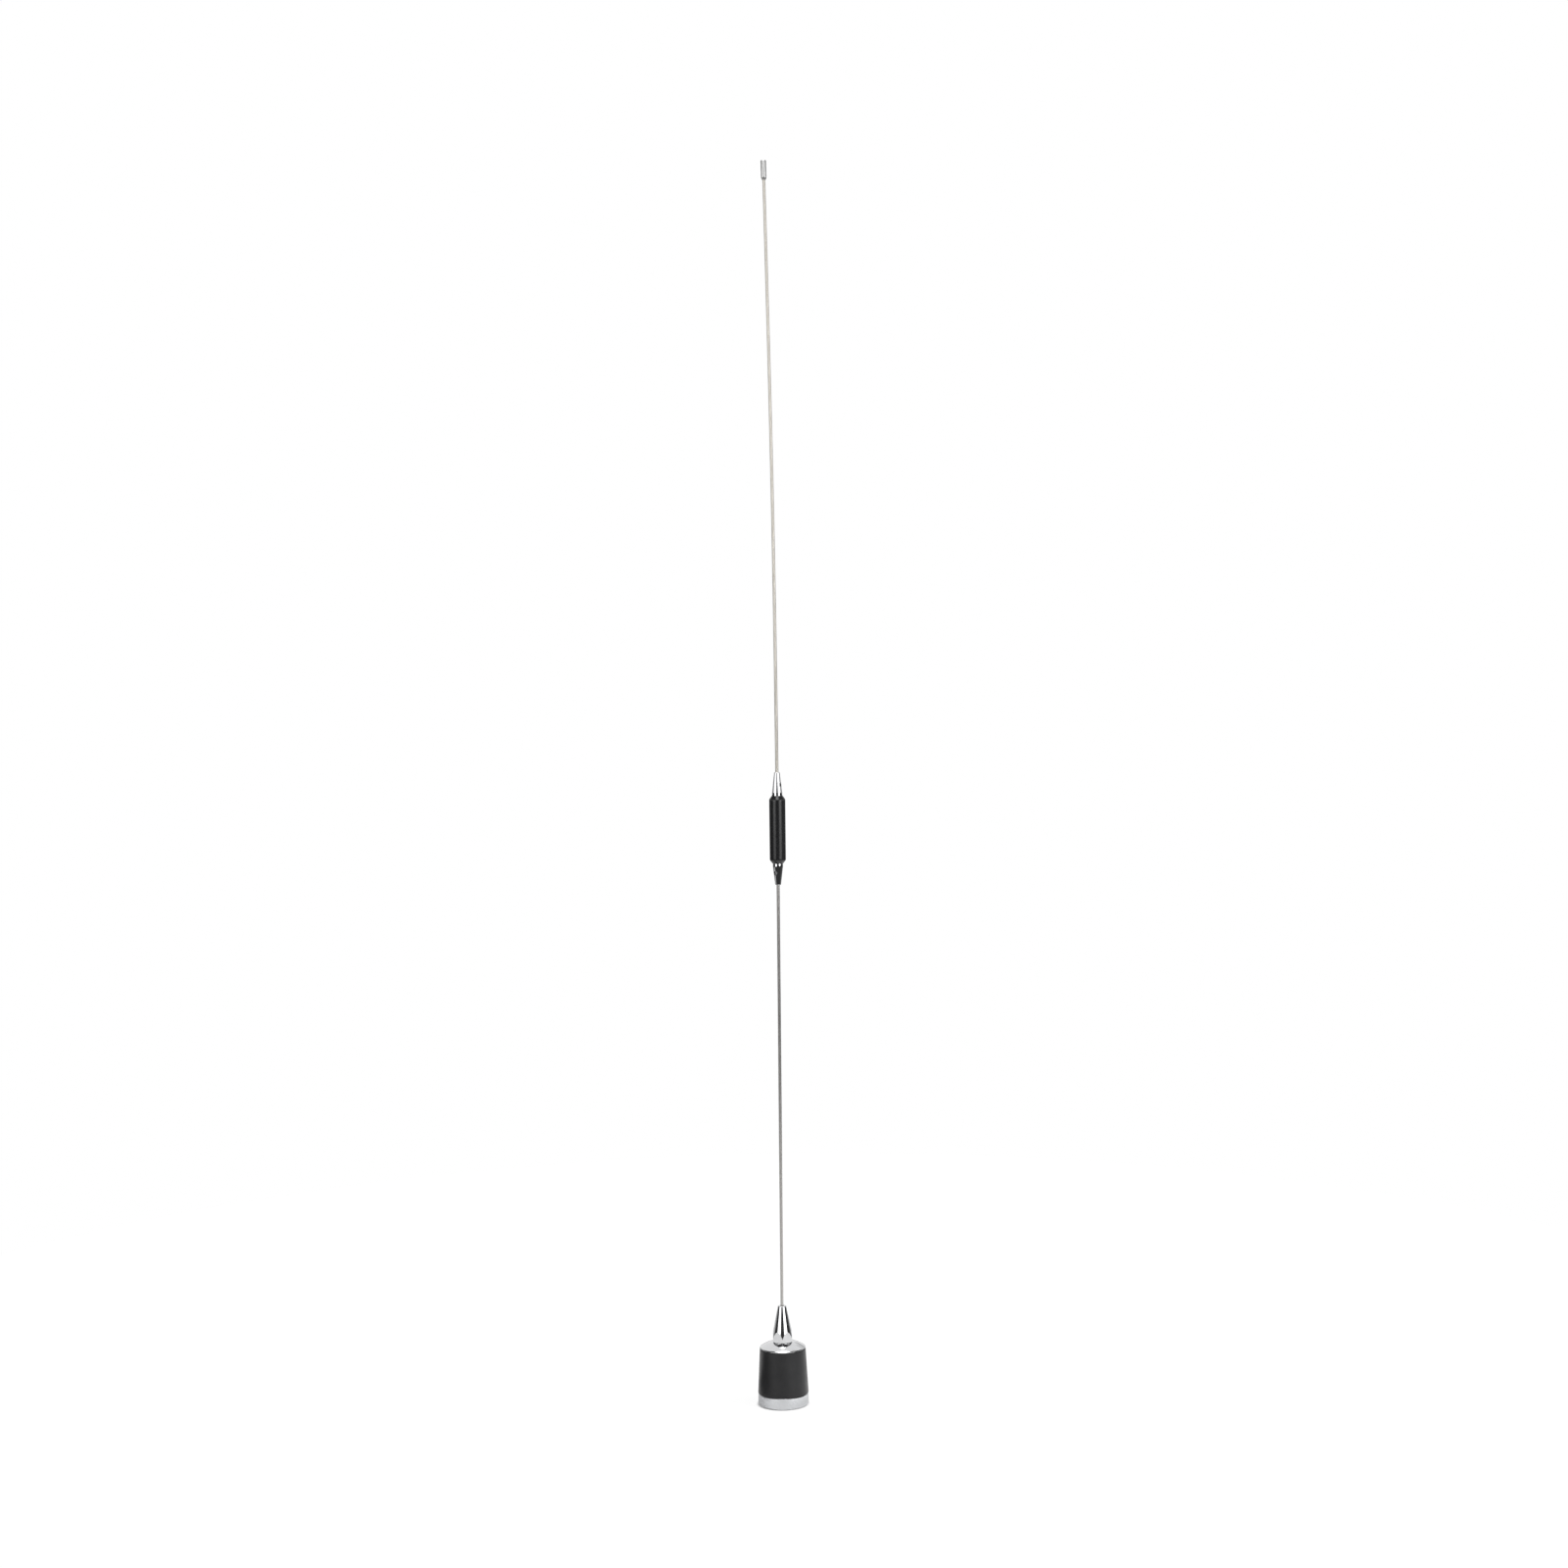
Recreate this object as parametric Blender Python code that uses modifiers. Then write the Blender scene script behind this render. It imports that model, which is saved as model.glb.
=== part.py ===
"""A mobile radio antenna: a base-loaded whip with a phasing coil, on a screw-down base.

Everything is in metres with +Z up. The origin is the centre of the plane that the
antenna rests on, which is the underside of its rubber gasket.
"""

import math
from dataclasses import dataclass

import bmesh
import bpy

MM = 0.001

# Clearances between separate pieces
FIT_GAP = 0.3 * MM
SEAT_GAP = 0.3 * MM

# Facets of turned pieces, by their size
COARSE_STEPS = 40
MEDIUM_STEPS = 28
FINE_STEPS = 20
MERGE_DISTANCE = 0.001 * MM
MARKER_SIZE = 10 * MM

# Base ring, with the mounting thread's bore, and its gasket
THREAD_BORE_RADIUS = 13.65 * MM
LEDGE_WIDTH = 1.2 * MM
SPIGOT_WALL = 1.4 * MM
SPIGOT_HEIGHT = 6.0 * MM
SPIGOT_LEAD_IN = 0.3 * MM
RING_HEIGHT = 8.2 * MM
RING_STEP = 0.08 * MM
RING_CHAMFER = 0.4 * MM
SOCKET_DEPTH = 9.4 * MM
GASKET_HEIGHT = 2.0 * MM
GASKET_WIDTH = 2.2 * MM
GASKET_PROUD = 0.4 * MM
SNAP_HEIGHT = 3.0 * MM
SNAP_GROOVE_HEIGHT = 1.8 * MM
SNAP_GROOVE_DEPTH = 0.7 * MM

# Centre contact
CARRIER_THICKNESS = 2.4 * MM
CONTACT_BOSS_HEIGHT = 1.5 * MM
CONTACT_BOSS_WIDTH = 1.6 * MM
PLUNGER_RADIUS = 1.9 * MM
PLUNGER_REACH = 5.0 * MM
PLUNGER_DOME_HEIGHT = 1.2 * MM
PLUNGER_DOME_POINTS = 5
PLUNGER_HEAD_STEP = 0.6 * MM
PLUNGER_HEAD_HEIGHT = 1.5 * MM
SLEEVE_PROUD = 0.4 * MM
SLEEVE_LIP = 0.8 * MM
SLEEVE_WALL = 0.8 * MM
SLEEVE_FLANGE_WIDTH = 1.6 * MM
SLEEVE_FLANGE_HEIGHT = 1.2 * MM
SPRING_LENGTH = 6.0 * MM
SPRING_WIRE_RADIUS = 0.25 * MM
SPRING_TURNS = 5
SPRING_TURN_POINTS = 8

# Housing and cap
HOUSING_WALL = 2.0 * MM
HOUSING_HEIGHT = 33.1 * MM
HOUSING_DRAFT = 1.6 * MM
HOUSING_PLATE = 2.2 * MM
HOUSING_EDGE = 0.25 * MM
CAP_HEIGHT = 4.3 * MM
CAP_OVERHANG = 0.05 * MM
CAP_LAND = 0.2 * MM
CAP_ROUND_WIDTH = 5.0 * MM
CAP_CROWN = 0.2 * MM
CAP_SEAT_MARGIN = 1.0 * MM
CAP_ROUND_POINTS = 6
SEAL_WIRE_RADIUS = 0.6 * MM
SEAL_INSET = 2.75 * MM
SEAL_SECTION_POINTS = 6

# Stud, nut and solder tag
STUD_RADIUS = 3.9 * MM
STUD_REACH = 9.0 * MM
STUD_TAIL = 1.0 * MM
STUD_CHAMFER = 0.6 * MM
STUD_FLANGE_WIDTH = 2.1 * MM
STUD_FLANGE_HEIGHT = 1.6 * MM
NUT_WALL = 1.7 * MM
NUT_HEIGHT = 4.0 * MM
TAG_THICKNESS = 0.6 * MM
TAG_WIDTH = 2.4 * MM
TAG_TAB_WIDTH = 3.0 * MM
TAG_TAB_MARGIN = 1.0 * MM

# Loading coil on its former
FORMER_CLEARANCE = 0.6 * MM
FORMER_WALL = 2.2 * MM
FORMER_FLANGE_WIDTH = 1.6 * MM
FORMER_FLANGE_HEIGHT = 1.5 * MM
FORMER_NOTCH_DEPTH = 3.0 * MM
FORMER_WINDOW_MARGIN = 0.7 * MM
COIL_WIRE_RADIUS = 0.65 * MM
COIL_TURNS = 7
COIL_END_MARGIN = 0.9 * MM
COIL_TURN_POINTS = 16
COIL_LEAD_ANGLE = math.radians(55)
COIL_LEAD_POINTS = 8
FEED_WIRE_RADIUS = 0.5 * MM
FEED_BEND_RADIUS = 2.0 * MM
FEED_BEND_POINTS = 6
TAP_TURNS = 1.5
TAG_ANGLE = math.radians(90)

# Whip ferrule: a hexagon turned to a cone
HEX_ACROSS_FLATS = 13.9 * MM
HEX_FLAT_HEIGHT = 7.6 * MM
HEX_CHAMFER = 0.3 * MM
FERRULE_HEIGHT = 26.5 * MM
FERRULE_TOP_RADIUS = 3.05 * MM
FERRULE_CHAMFER = 0.35 * MM
STUD_END_CLEARANCE = 1.0 * MM
DRILL_SLOPE = 0.6
BASE_SCREW_HEIGHT = 17.6 * MM
BASE_SCREW_ANGLE = math.radians(90)

# Whips
LOWER_WHIP_RADIUS = 1.1 * MM
UPPER_WHIP_RADIUS = 1.15 * MM
UPPER_WHIP_TOP_RADIUS = 1.05 * MM
LOWER_WHIP_LENGTH = 310.3 * MM
UPPER_WHIP_LENGTH = 422.0 * MM
WHIP_BOW = 3.0 * MM
WHIP_POINT_SPACING = 28 * MM
TIP_RADIUS = 2.05 * MM
TIP_LENGTH = 14.0 * MM
TIP_TAPER_HEIGHT = 1.6 * MM
TIP_TAPER_END = 0.2 * MM
TIP_EDGE = 0.25 * MM
TIP_CROWN = 2.5 * MM

# Phasing coil
PHASING_SLEEVE_LENGTH = 48.8 * MM
PHASING_SLEEVE_RADIUS = 6.46 * MM
PHASING_CHAMFER_HEIGHT = 2.6 * MM
PHASING_LIP = 0.25 * MM
PHASING_FERRULE_RADIUS = 3.65 * MM
PHASING_FERRULE_HIDDEN = 6.0 * MM
PHASING_COLLAR_HEIGHT = 2.2 * MM
PHASING_CORE_RADIUS = 2.3 * MM
PHASING_CORE_DEPTH = 5.5 * MM
PHASING_WEB = 1.0 * MM
PHASING_WIRE_RADIUS = 0.4 * MM
PHASING_TURNS = 8
PHASING_TURN_POINTS = 10

# Set screws
SET_SCREW_RADIUS = 1.4 * MM
SET_SCREW_RECESS = 0.35 * MM
SET_SCREW_SOCKET_RADIUS = 0.75 * MM
SET_SCREW_SOCKET_SHARE = 0.5
SET_SCREW_STEPS = 20

# Radii that follow from the driving sizes
LEDGE_RADIUS = THREAD_BORE_RADIUS + LEDGE_WIDTH
SPIGOT_RADIUS = LEDGE_RADIUS + SPIGOT_WALL
HOUSING_BORE_RADIUS = SPIGOT_RADIUS + FIT_GAP
HOUSING_RADIUS = HOUSING_BORE_RADIUS + HOUSING_WALL
HOUSING_TOP_RADIUS = HOUSING_RADIUS - HOUSING_DRAFT
RING_RADIUS = HOUSING_RADIUS - RING_STEP
CAP_RADIUS = HOUSING_TOP_RADIUS + CAP_OVERHANG
PLUNGER_HEAD_RADIUS = PLUNGER_RADIUS + PLUNGER_HEAD_STEP
SLEEVE_BORE_RADIUS = PLUNGER_HEAD_RADIUS + FIT_GAP
SLEEVE_RADIUS = SLEEVE_BORE_RADIUS + SLEEVE_WALL
STUD_BORE_RADIUS = STUD_RADIUS + FIT_GAP
STUD_FLANGE_RADIUS = STUD_RADIUS + STUD_FLANGE_WIDTH
NUT_CORNER_RADIUS = (STUD_BORE_RADIUS + NUT_WALL) / math.cos(math.pi / 6)
FORMER_BORE_RADIUS = NUT_CORNER_RADIUS + FORMER_CLEARANCE
FORMER_RADIUS = FORMER_BORE_RADIUS + FORMER_WALL
COIL_RADIUS = FORMER_RADIUS + FIT_GAP + COIL_WIRE_RADIUS
HEX_CORNER_RADIUS = HEX_ACROSS_FLATS / 2 / math.cos(math.pi / 6)
SET_SCREW_HOLE_RADIUS = SET_SCREW_RADIUS + FIT_GAP
PHASING_BORE_RADIUS = PHASING_FERRULE_RADIUS + FIT_GAP
PHASING_COIL_RADIUS = PHASING_CORE_RADIUS + FIT_GAP + PHASING_WIRE_RADIUS

# Heights that follow from the driving sizes, from the ground up
RING_BOTTOM = GASKET_PROUD
SPIGOT_TOP = RING_BOTTOM + RING_HEIGHT + SPIGOT_HEIGHT
CARRIER_BOTTOM = RING_BOTTOM + SOCKET_DEPTH + SEAT_GAP
CARRIER_TOP = CARRIER_BOTTOM + CARRIER_THICKNESS
SLEEVE_BOTTOM = CARRIER_BOTTOM - CONTACT_BOSS_HEIGHT - SLEEVE_PROUD
SLEEVE_FLANGE_BOTTOM = CARRIER_TOP + SEAT_GAP
SLEEVE_FLANGE_TOP = SLEEVE_FLANGE_BOTTOM + SLEEVE_FLANGE_HEIGHT
PLUNGER_SEAT = SLEEVE_BOTTOM + SLEEVE_LIP + SEAT_GAP
SPRING_BOTTOM = PLUNGER_SEAT + PLUNGER_HEAD_HEIGHT + SEAT_GAP
SPRING_TOP = SPRING_BOTTOM + SPRING_LENGTH
SLEEVE_TOP = SPRING_TOP + SEAT_GAP + SLEEVE_WALL
HOUSING_BOTTOM = RING_BOTTOM + RING_HEIGHT + SEAT_GAP
HOUSING_TOP = HOUSING_BOTTOM + HOUSING_HEIGHT
PLATE_BOTTOM = HOUSING_TOP - HOUSING_PLATE
CAP_BOTTOM = HOUSING_TOP + SEAT_GAP
FERRULE_BOTTOM = CAP_BOTTOM + CAP_HEIGHT + SEAT_GAP
FERRULE_TOP = FERRULE_BOTTOM + FERRULE_HEIGHT
TAG_BOTTOM = PLATE_BOTTOM - SEAT_GAP - TAG_THICKNESS
NUT_BOTTOM = TAG_BOTTOM - SEAT_GAP - NUT_HEIGHT
STUD_BOTTOM = NUT_BOTTOM - STUD_TAIL
FORMER_BOTTOM = CARRIER_TOP + SEAT_GAP
FORMER_TOP = PLATE_BOTTOM - SEAT_GAP
COIL_BOTTOM = SPIGOT_TOP + SEAT_GAP + COIL_WIRE_RADIUS
COIL_TOP = FORMER_TOP - FORMER_NOTCH_DEPTH - COIL_END_MARGIN


@dataclass(frozen=True)
class PhasingEnd:
    """The sizes in which the two ends of the phasing coil differ."""

    name: str
    side: int
    exposed: float
    end_radius: float
    whip_radius: float
    screw_height: float
    screw_angle: float


LOWER_END = PhasingEnd(
    name="phasing_lower",
    side=-1,
    exposed=15.5 * MM,
    end_radius=2.2 * MM,
    whip_radius=LOWER_WHIP_RADIUS,
    screw_height=6.8 * MM,
    screw_angle=math.radians(-135),
)
UPPER_END = PhasingEnd(
    name="phasing_upper",
    side=1,
    exposed=16.0 * MM,
    end_radius=2.45 * MM,
    whip_radius=UPPER_WHIP_RADIUS,
    screw_height=7.7 * MM,
    screw_angle=math.radians(-25),
)

PHASING_BOTTOM = FERRULE_TOP + LOWER_WHIP_LENGTH
PHASING_CENTRE = PHASING_BOTTOM + LOWER_END.exposed + PHASING_SLEEVE_LENGTH / 2
PHASING_TOP = PHASING_CENTRE + PHASING_SLEEVE_LENGTH / 2 + UPPER_END.exposed
TIP_BOTTOM = PHASING_TOP + UPPER_WHIP_LENGTH
TOP = TIP_BOTTOM + TIP_LENGTH


def clear_scene():
    """Removes every object that is already there."""
    for item in list(bpy.data.objects):
        bpy.data.objects.remove(item, do_unlink=True)


def new_collection(name):
    """Makes a collection in the scene."""
    collection = bpy.data.collections.new(name)
    bpy.context.scene.collection.children.link(collection)
    return collection


def make_material(name, colour, roughness, metallic):
    """Makes a plain material."""
    material = bpy.data.materials.new(name)
    material.use_nodes = True
    shader = material.node_tree.nodes["Principled BSDF"]
    shader.inputs["Base Color"].default_value = (*colour, 1.0)
    shader.inputs["Roughness"].default_value = roughness
    shader.inputs["Metallic"].default_value = metallic
    return material


class Workshop:
    """Holds the collections and materials, and makes pieces in them."""

    def __init__(self):
        self.parts = new_collection("mobile_radio_antenna")
        self.cutters = new_collection("cutters")
        self.chrome = make_material("chrome", (0.82, 0.82, 0.83), 0.08, 1.0)
        self.bright_ring = make_material("bright_ring", (0.75, 0.75, 0.77), 0.35, 1.0)
        self.stainless = make_material("stainless", (0.58, 0.58, 0.56), 0.35, 1.0)
        self.brass = make_material("brass", (0.78, 0.58, 0.26), 0.25, 1.0)
        self.copper = make_material("copper", (0.72, 0.36, 0.2), 0.3, 1.0)
        self.screw_steel = make_material("screw_steel", (0.1, 0.1, 0.11), 0.4, 1.0)
        self.black_plastic = make_material("black_plastic", (0.03, 0.03, 0.032), 0.4, 0.0)
        self.pale_insulator = make_material("pale_insulator", (0.75, 0.72, 0.62), 0.5, 0.0)
        self.rubber = make_material("rubber", (0.02, 0.02, 0.02), 0.8, 0.0)

    def place(self, piece, material, location=(0, 0, 0), parent=None):
        """Puts a finished object in the parts collection."""
        self.parts.objects.link(piece)
        piece.location = location
        piece.parent = parent
        if material:
            piece.data.materials.append(material)
        return piece

    def empty(self, name, location, tilt=0.0):
        """An empty that carries a group of pieces, tilted about Y."""
        frame = bpy.data.objects.new(name, None)
        frame.empty_display_size = MARKER_SIZE
        frame.rotation_euler = (0, tilt, 0)
        return self.place(frame, None, location)

    def turned(self, name, outline, material, location=(0, 0, 0), parent=None, steps=FINE_STEPS, hollow=True):
        """Turns an outline of (radius, height) about Z, given down its outer side.

        A hollow piece's outline is a closed loop. Any other starts and ends on the axis.
        """
        points = [(radius, 0, height) for radius, height in outline]
        edges = [(i, i + 1) for i in range(len(points) - 1)]
        if hollow:
            edges.append((len(points) - 1, 0))
        mesh = bpy.data.meshes.new(name)
        mesh.from_pydata(points, edges, [])
        piece = bpy.data.objects.new(name, mesh)
        turn = piece.modifiers.new("Turn", "SCREW")
        turn.steps = steps
        turn.render_steps = steps
        turn.use_merge_vertices = True
        turn.merge_threshold = MERGE_DISTANCE
        turn.use_smooth_shade = True
        return self.place(piece, material, location, parent)

    def wire(self, name, points, radius, material, parent=None, level=2, end_share=1.0):
        """A round wire through points, its radius falling evenly to end_share of itself."""
        curve = bpy.data.curves.new(name, "CURVE")
        curve.dimensions = "3D"
        curve.bevel_depth = radius
        curve.bevel_resolution = level
        curve.use_fill_caps = True
        spline = curve.splines.new("POLY")
        spline.points.add(len(points) - 1)
        for i, point in enumerate(points):
            spline.points[i].co = (*point, 1)
            spline.points[i].radius = 1 + (end_share - 1) * i / (len(points) - 1)
        return self.place(bpy.data.objects.new(name, curve), material, parent=parent)

    def plate(self, name, outlines, thickness, material, bottom):
        """A flat piece cut to closed outlines of (x, y), the holes among them."""
        curve = bpy.data.curves.new(name, "CURVE")
        curve.dimensions = "2D"
        curve.fill_mode = "BOTH"
        curve.extrude = thickness / 2
        for outline in outlines:
            spline = curve.splines.new("POLY")
            spline.points.add(len(outline) - 1)
            spline.use_cyclic_u = True
            for spot, (x, y) in zip(spline.points, outline):
                spot.co = (x, y, 0, 1)
        return self.place(bpy.data.objects.new(name, curve), material, (0, 0, bottom + thickness / 2))

    def cutter(self, name, segments, radius, length, parent, location=(0, 0, 0), rotation=(0, 0, 0)):
        """A prism or cylinder along its own Z, from its location up."""
        form = bmesh.new()
        made = bmesh.ops.create_cone(
            form, cap_ends=True, segments=segments, radius1=radius, radius2=radius, depth=length
        )
        bmesh.ops.translate(form, vec=(0, 0, length / 2), verts=made["verts"])
        return self.place_cutter(name, form, parent, location, rotation)

    def box_cutter(self, name, low, high, parent):
        """A box between two corners."""
        form = bmesh.new()
        bmesh.ops.create_cube(form, size=1)
        size = [b - a for a, b in zip(low, high)]
        centre = [(a + b) / 2 for a, b in zip(low, high)]
        bmesh.ops.scale(form, vec=size, verts=form.verts)
        bmesh.ops.translate(form, vec=centre, verts=form.verts)
        return self.place_cutter(name, form, parent)

    def place_cutter(self, name, form, parent, location=(0, 0, 0), rotation=(0, 0, 0)):
        """Puts a cutting form in the cutters collection."""
        mesh = bpy.data.meshes.new(name)
        form.to_mesh(mesh)
        form.free()
        tool = bpy.data.objects.new(name, mesh)
        tool.parent = parent
        tool.location = location
        tool.rotation_euler = rotation
        tool.hide_render = True
        tool.display_type = "WIRE"
        self.cutters.objects.link(tool)
        return tool


def boolean(piece, tool, operation="DIFFERENCE"):
    """Cuts a piece with a tool, or keeps what lies in both."""
    step = piece.modifiers.new(tool.name, "BOOLEAN")
    step.operation = operation
    step.solver = "EXACT"
    step.object = tool


def circle(radius, points, start=0.0, sweep=math.tau):
    """Points round an arc, without its last one when the arc is a full turn."""
    count = points if sweep == math.tau else points - 1
    return [
        (radius * math.cos(start + sweep * i / count), radius * math.sin(start + sweep * i / count))
        for i in range(points)
    ]


def helix(radius, bottom, top, turns, turn_points, start_angle):
    """Points up a helix."""
    count = round(turns * turn_points)
    points = []
    for i in range(count + 1):
        angle = start_angle + math.tau * turns * i / count
        height = bottom + (top - bottom) * i / count
        points.append((radius * math.cos(angle), radius * math.sin(angle), height))
    return points


def bow(height):
    """How far the flexible part of the antenna stands off the base's axis at a height."""
    if height <= FERRULE_TOP:
        return 0.0
    return WHIP_BOW * math.sin(math.pi * (height - FERRULE_TOP) / (TOP - FERRULE_TOP))


def bow_tilt(height):
    """How far the antenna leans at a height, as a turn about Y."""
    span = TOP - FERRULE_TOP
    return math.atan(WHIP_BOW * math.pi / span * math.cos(math.pi * (height - FERRULE_TOP) / span))


def whip_points(bottom, top):
    """Evenly spaced points up the bowed line of the whip."""
    count = round((top - bottom) / WHIP_POINT_SPACING)
    heights = [bottom + (top - bottom) * i / count for i in range(count + 1)]
    return [(bow(height), 0, height) for height in heights]


def make_ring(shop):
    """Base ring: threaded socket below, spigot with a snap groove above."""
    middle = (THREAD_BORE_RADIUS + RING_RADIUS) / 2
    half_groove = GASKET_WIDTH / 2 + FIT_GAP
    groove_depth = GASKET_HEIGHT - GASKET_PROUD + SEAT_GAP
    top = RING_HEIGHT + SPIGOT_HEIGHT
    snap_low = RING_HEIGHT + SNAP_HEIGHT - SNAP_GROOVE_HEIGHT / 2
    snap_high = snap_low + SNAP_GROOVE_HEIGHT
    outline = [
        (LEDGE_RADIUS, top),
        (SPIGOT_RADIUS - SPIGOT_LEAD_IN, top),
        (SPIGOT_RADIUS, top - SPIGOT_LEAD_IN),
        (SPIGOT_RADIUS, snap_high),
        (SPIGOT_RADIUS - SNAP_GROOVE_DEPTH, snap_high),
        (SPIGOT_RADIUS - SNAP_GROOVE_DEPTH, snap_low),
        (SPIGOT_RADIUS, snap_low),
        (SPIGOT_RADIUS, RING_HEIGHT),
        (RING_RADIUS - RING_CHAMFER, RING_HEIGHT),
        (RING_RADIUS, RING_HEIGHT - RING_CHAMFER),
        (RING_RADIUS, RING_CHAMFER),
        (RING_RADIUS - RING_CHAMFER, 0),
        (middle + half_groove, 0),
        (middle + half_groove, groove_depth),
        (middle - half_groove, groove_depth),
        (middle - half_groove, 0),
        (THREAD_BORE_RADIUS + RING_CHAMFER, 0),
        (THREAD_BORE_RADIUS, RING_CHAMFER),
        (THREAD_BORE_RADIUS, SOCKET_DEPTH),
        (LEDGE_RADIUS, SOCKET_DEPTH),
    ]
    shop.turned("base_ring", outline, shop.bright_ring, (0, 0, RING_BOTTOM), steps=COARSE_STEPS)
    outline = [
        (middle - GASKET_WIDTH / 2, GASKET_HEIGHT),
        (middle + GASKET_WIDTH / 2, GASKET_HEIGHT),
        (middle + GASKET_WIDTH / 2, 0),
        (middle - GASKET_WIDTH / 2, 0),
    ]
    shop.turned("base_gasket", outline, shop.rubber, steps=COARSE_STEPS)


def make_contact(shop):
    """Insulating carrier, contact sleeve, sprung plunger and its spring."""
    hole = SLEEVE_RADIUS + FIT_GAP
    boss = hole + CONTACT_BOSS_WIDTH
    outline = [
        (hole, CARRIER_THICKNESS),
        (LEDGE_RADIUS - FIT_GAP, CARRIER_THICKNESS),
        (LEDGE_RADIUS - FIT_GAP, 0),
        (boss, 0),
        (boss, -CONTACT_BOSS_HEIGHT),
        (hole, -CONTACT_BOSS_HEIGHT),
    ]
    shop.turned("contact_carrier", outline, shop.pale_insulator, (0, 0, CARRIER_BOTTOM), steps=COARSE_STEPS)

    lip_hole = PLUNGER_RADIUS + FIT_GAP
    flange = SLEEVE_RADIUS + SLEEVE_FLANGE_WIDTH
    outline = [
        (0, SLEEVE_TOP),
        (SLEEVE_RADIUS, SLEEVE_TOP),
        (SLEEVE_RADIUS, SLEEVE_FLANGE_TOP),
        (flange, SLEEVE_FLANGE_TOP),
        (flange, SLEEVE_FLANGE_BOTTOM),
        (SLEEVE_RADIUS, SLEEVE_FLANGE_BOTTOM),
        (SLEEVE_RADIUS, SLEEVE_BOTTOM),
        (lip_hole, SLEEVE_BOTTOM),
        (lip_hole, SLEEVE_BOTTOM + SLEEVE_LIP),
        (SLEEVE_BORE_RADIUS, SLEEVE_BOTTOM + SLEEVE_LIP),
        (SLEEVE_BORE_RADIUS, SPRING_TOP + SEAT_GAP),
        (0, SPRING_TOP + SEAT_GAP),
    ]
    shop.turned("contact_sleeve", outline, shop.brass, hollow=False)

    tip = CARRIER_BOTTOM - PLUNGER_REACH - PLUNGER_SEAT
    shoulder = tip + PLUNGER_DOME_HEIGHT
    outline = [
        (0, PLUNGER_HEAD_HEIGHT),
        (PLUNGER_HEAD_RADIUS, PLUNGER_HEAD_HEIGHT),
        (PLUNGER_HEAD_RADIUS, 0),
        (PLUNGER_RADIUS, 0),
    ]
    for i in range(PLUNGER_DOME_POINTS):
        angle = math.pi / 2 * i / PLUNGER_DOME_POINTS
        outline.append((PLUNGER_RADIUS * math.cos(angle), shoulder - PLUNGER_DOME_HEIGHT * math.sin(angle)))
    outline.append((0, tip))
    shop.turned("contact_plunger", outline, shop.brass, (0, 0, PLUNGER_SEAT), hollow=False)

    points = helix(
        SLEEVE_BORE_RADIUS - FIT_GAP - SPRING_WIRE_RADIUS,
        SPRING_BOTTOM + SPRING_WIRE_RADIUS,
        SPRING_TOP - SPRING_WIRE_RADIUS,
        SPRING_TURNS,
        SPRING_TURN_POINTS,
        0.0,
    )
    shop.wire("contact_spring", points, SPRING_WIRE_RADIUS, shop.stainless)


def housing_radius(height):
    """The housing's outer radius at a height above its bottom edge."""
    return HOUSING_RADIUS - HOUSING_DRAFT * height / HOUSING_HEIGHT


def make_housing(shop):
    """Tapered housing shell, with a ridge inside that snaps into the ring's groove."""
    ridge_middle = SNAP_HEIGHT - SEAT_GAP
    ridge_half = SNAP_GROOVE_HEIGHT / 2 - SEAT_GAP
    ridge_slope = ridge_half / 2
    ridge_radius = SPIGOT_RADIUS - SNAP_GROOVE_DEPTH + FIT_GAP
    plate = HOUSING_HEIGHT - HOUSING_PLATE
    outline = [
        (STUD_BORE_RADIUS, HOUSING_HEIGHT),
        (HOUSING_TOP_RADIUS - HOUSING_EDGE, HOUSING_HEIGHT),
        (HOUSING_TOP_RADIUS, HOUSING_HEIGHT - HOUSING_EDGE),
        (HOUSING_RADIUS, HOUSING_EDGE),
        (HOUSING_RADIUS - HOUSING_EDGE, 0),
        (HOUSING_BORE_RADIUS, 0),
        (HOUSING_BORE_RADIUS, ridge_middle - ridge_half),
        (ridge_radius, ridge_middle - ridge_slope),
        (ridge_radius, ridge_middle + ridge_slope),
        (HOUSING_BORE_RADIUS, ridge_middle + ridge_half),
        (HOUSING_BORE_RADIUS, SPIGOT_HEIGHT),
        (housing_radius(SPIGOT_HEIGHT) - HOUSING_WALL, SPIGOT_HEIGHT),
        (housing_radius(plate) - HOUSING_WALL, plate),
        (STUD_BORE_RADIUS, plate),
    ]
    shop.turned("coil_housing", outline, shop.black_plastic, (0, 0, HOUSING_BOTTOM), steps=COARSE_STEPS)


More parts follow.
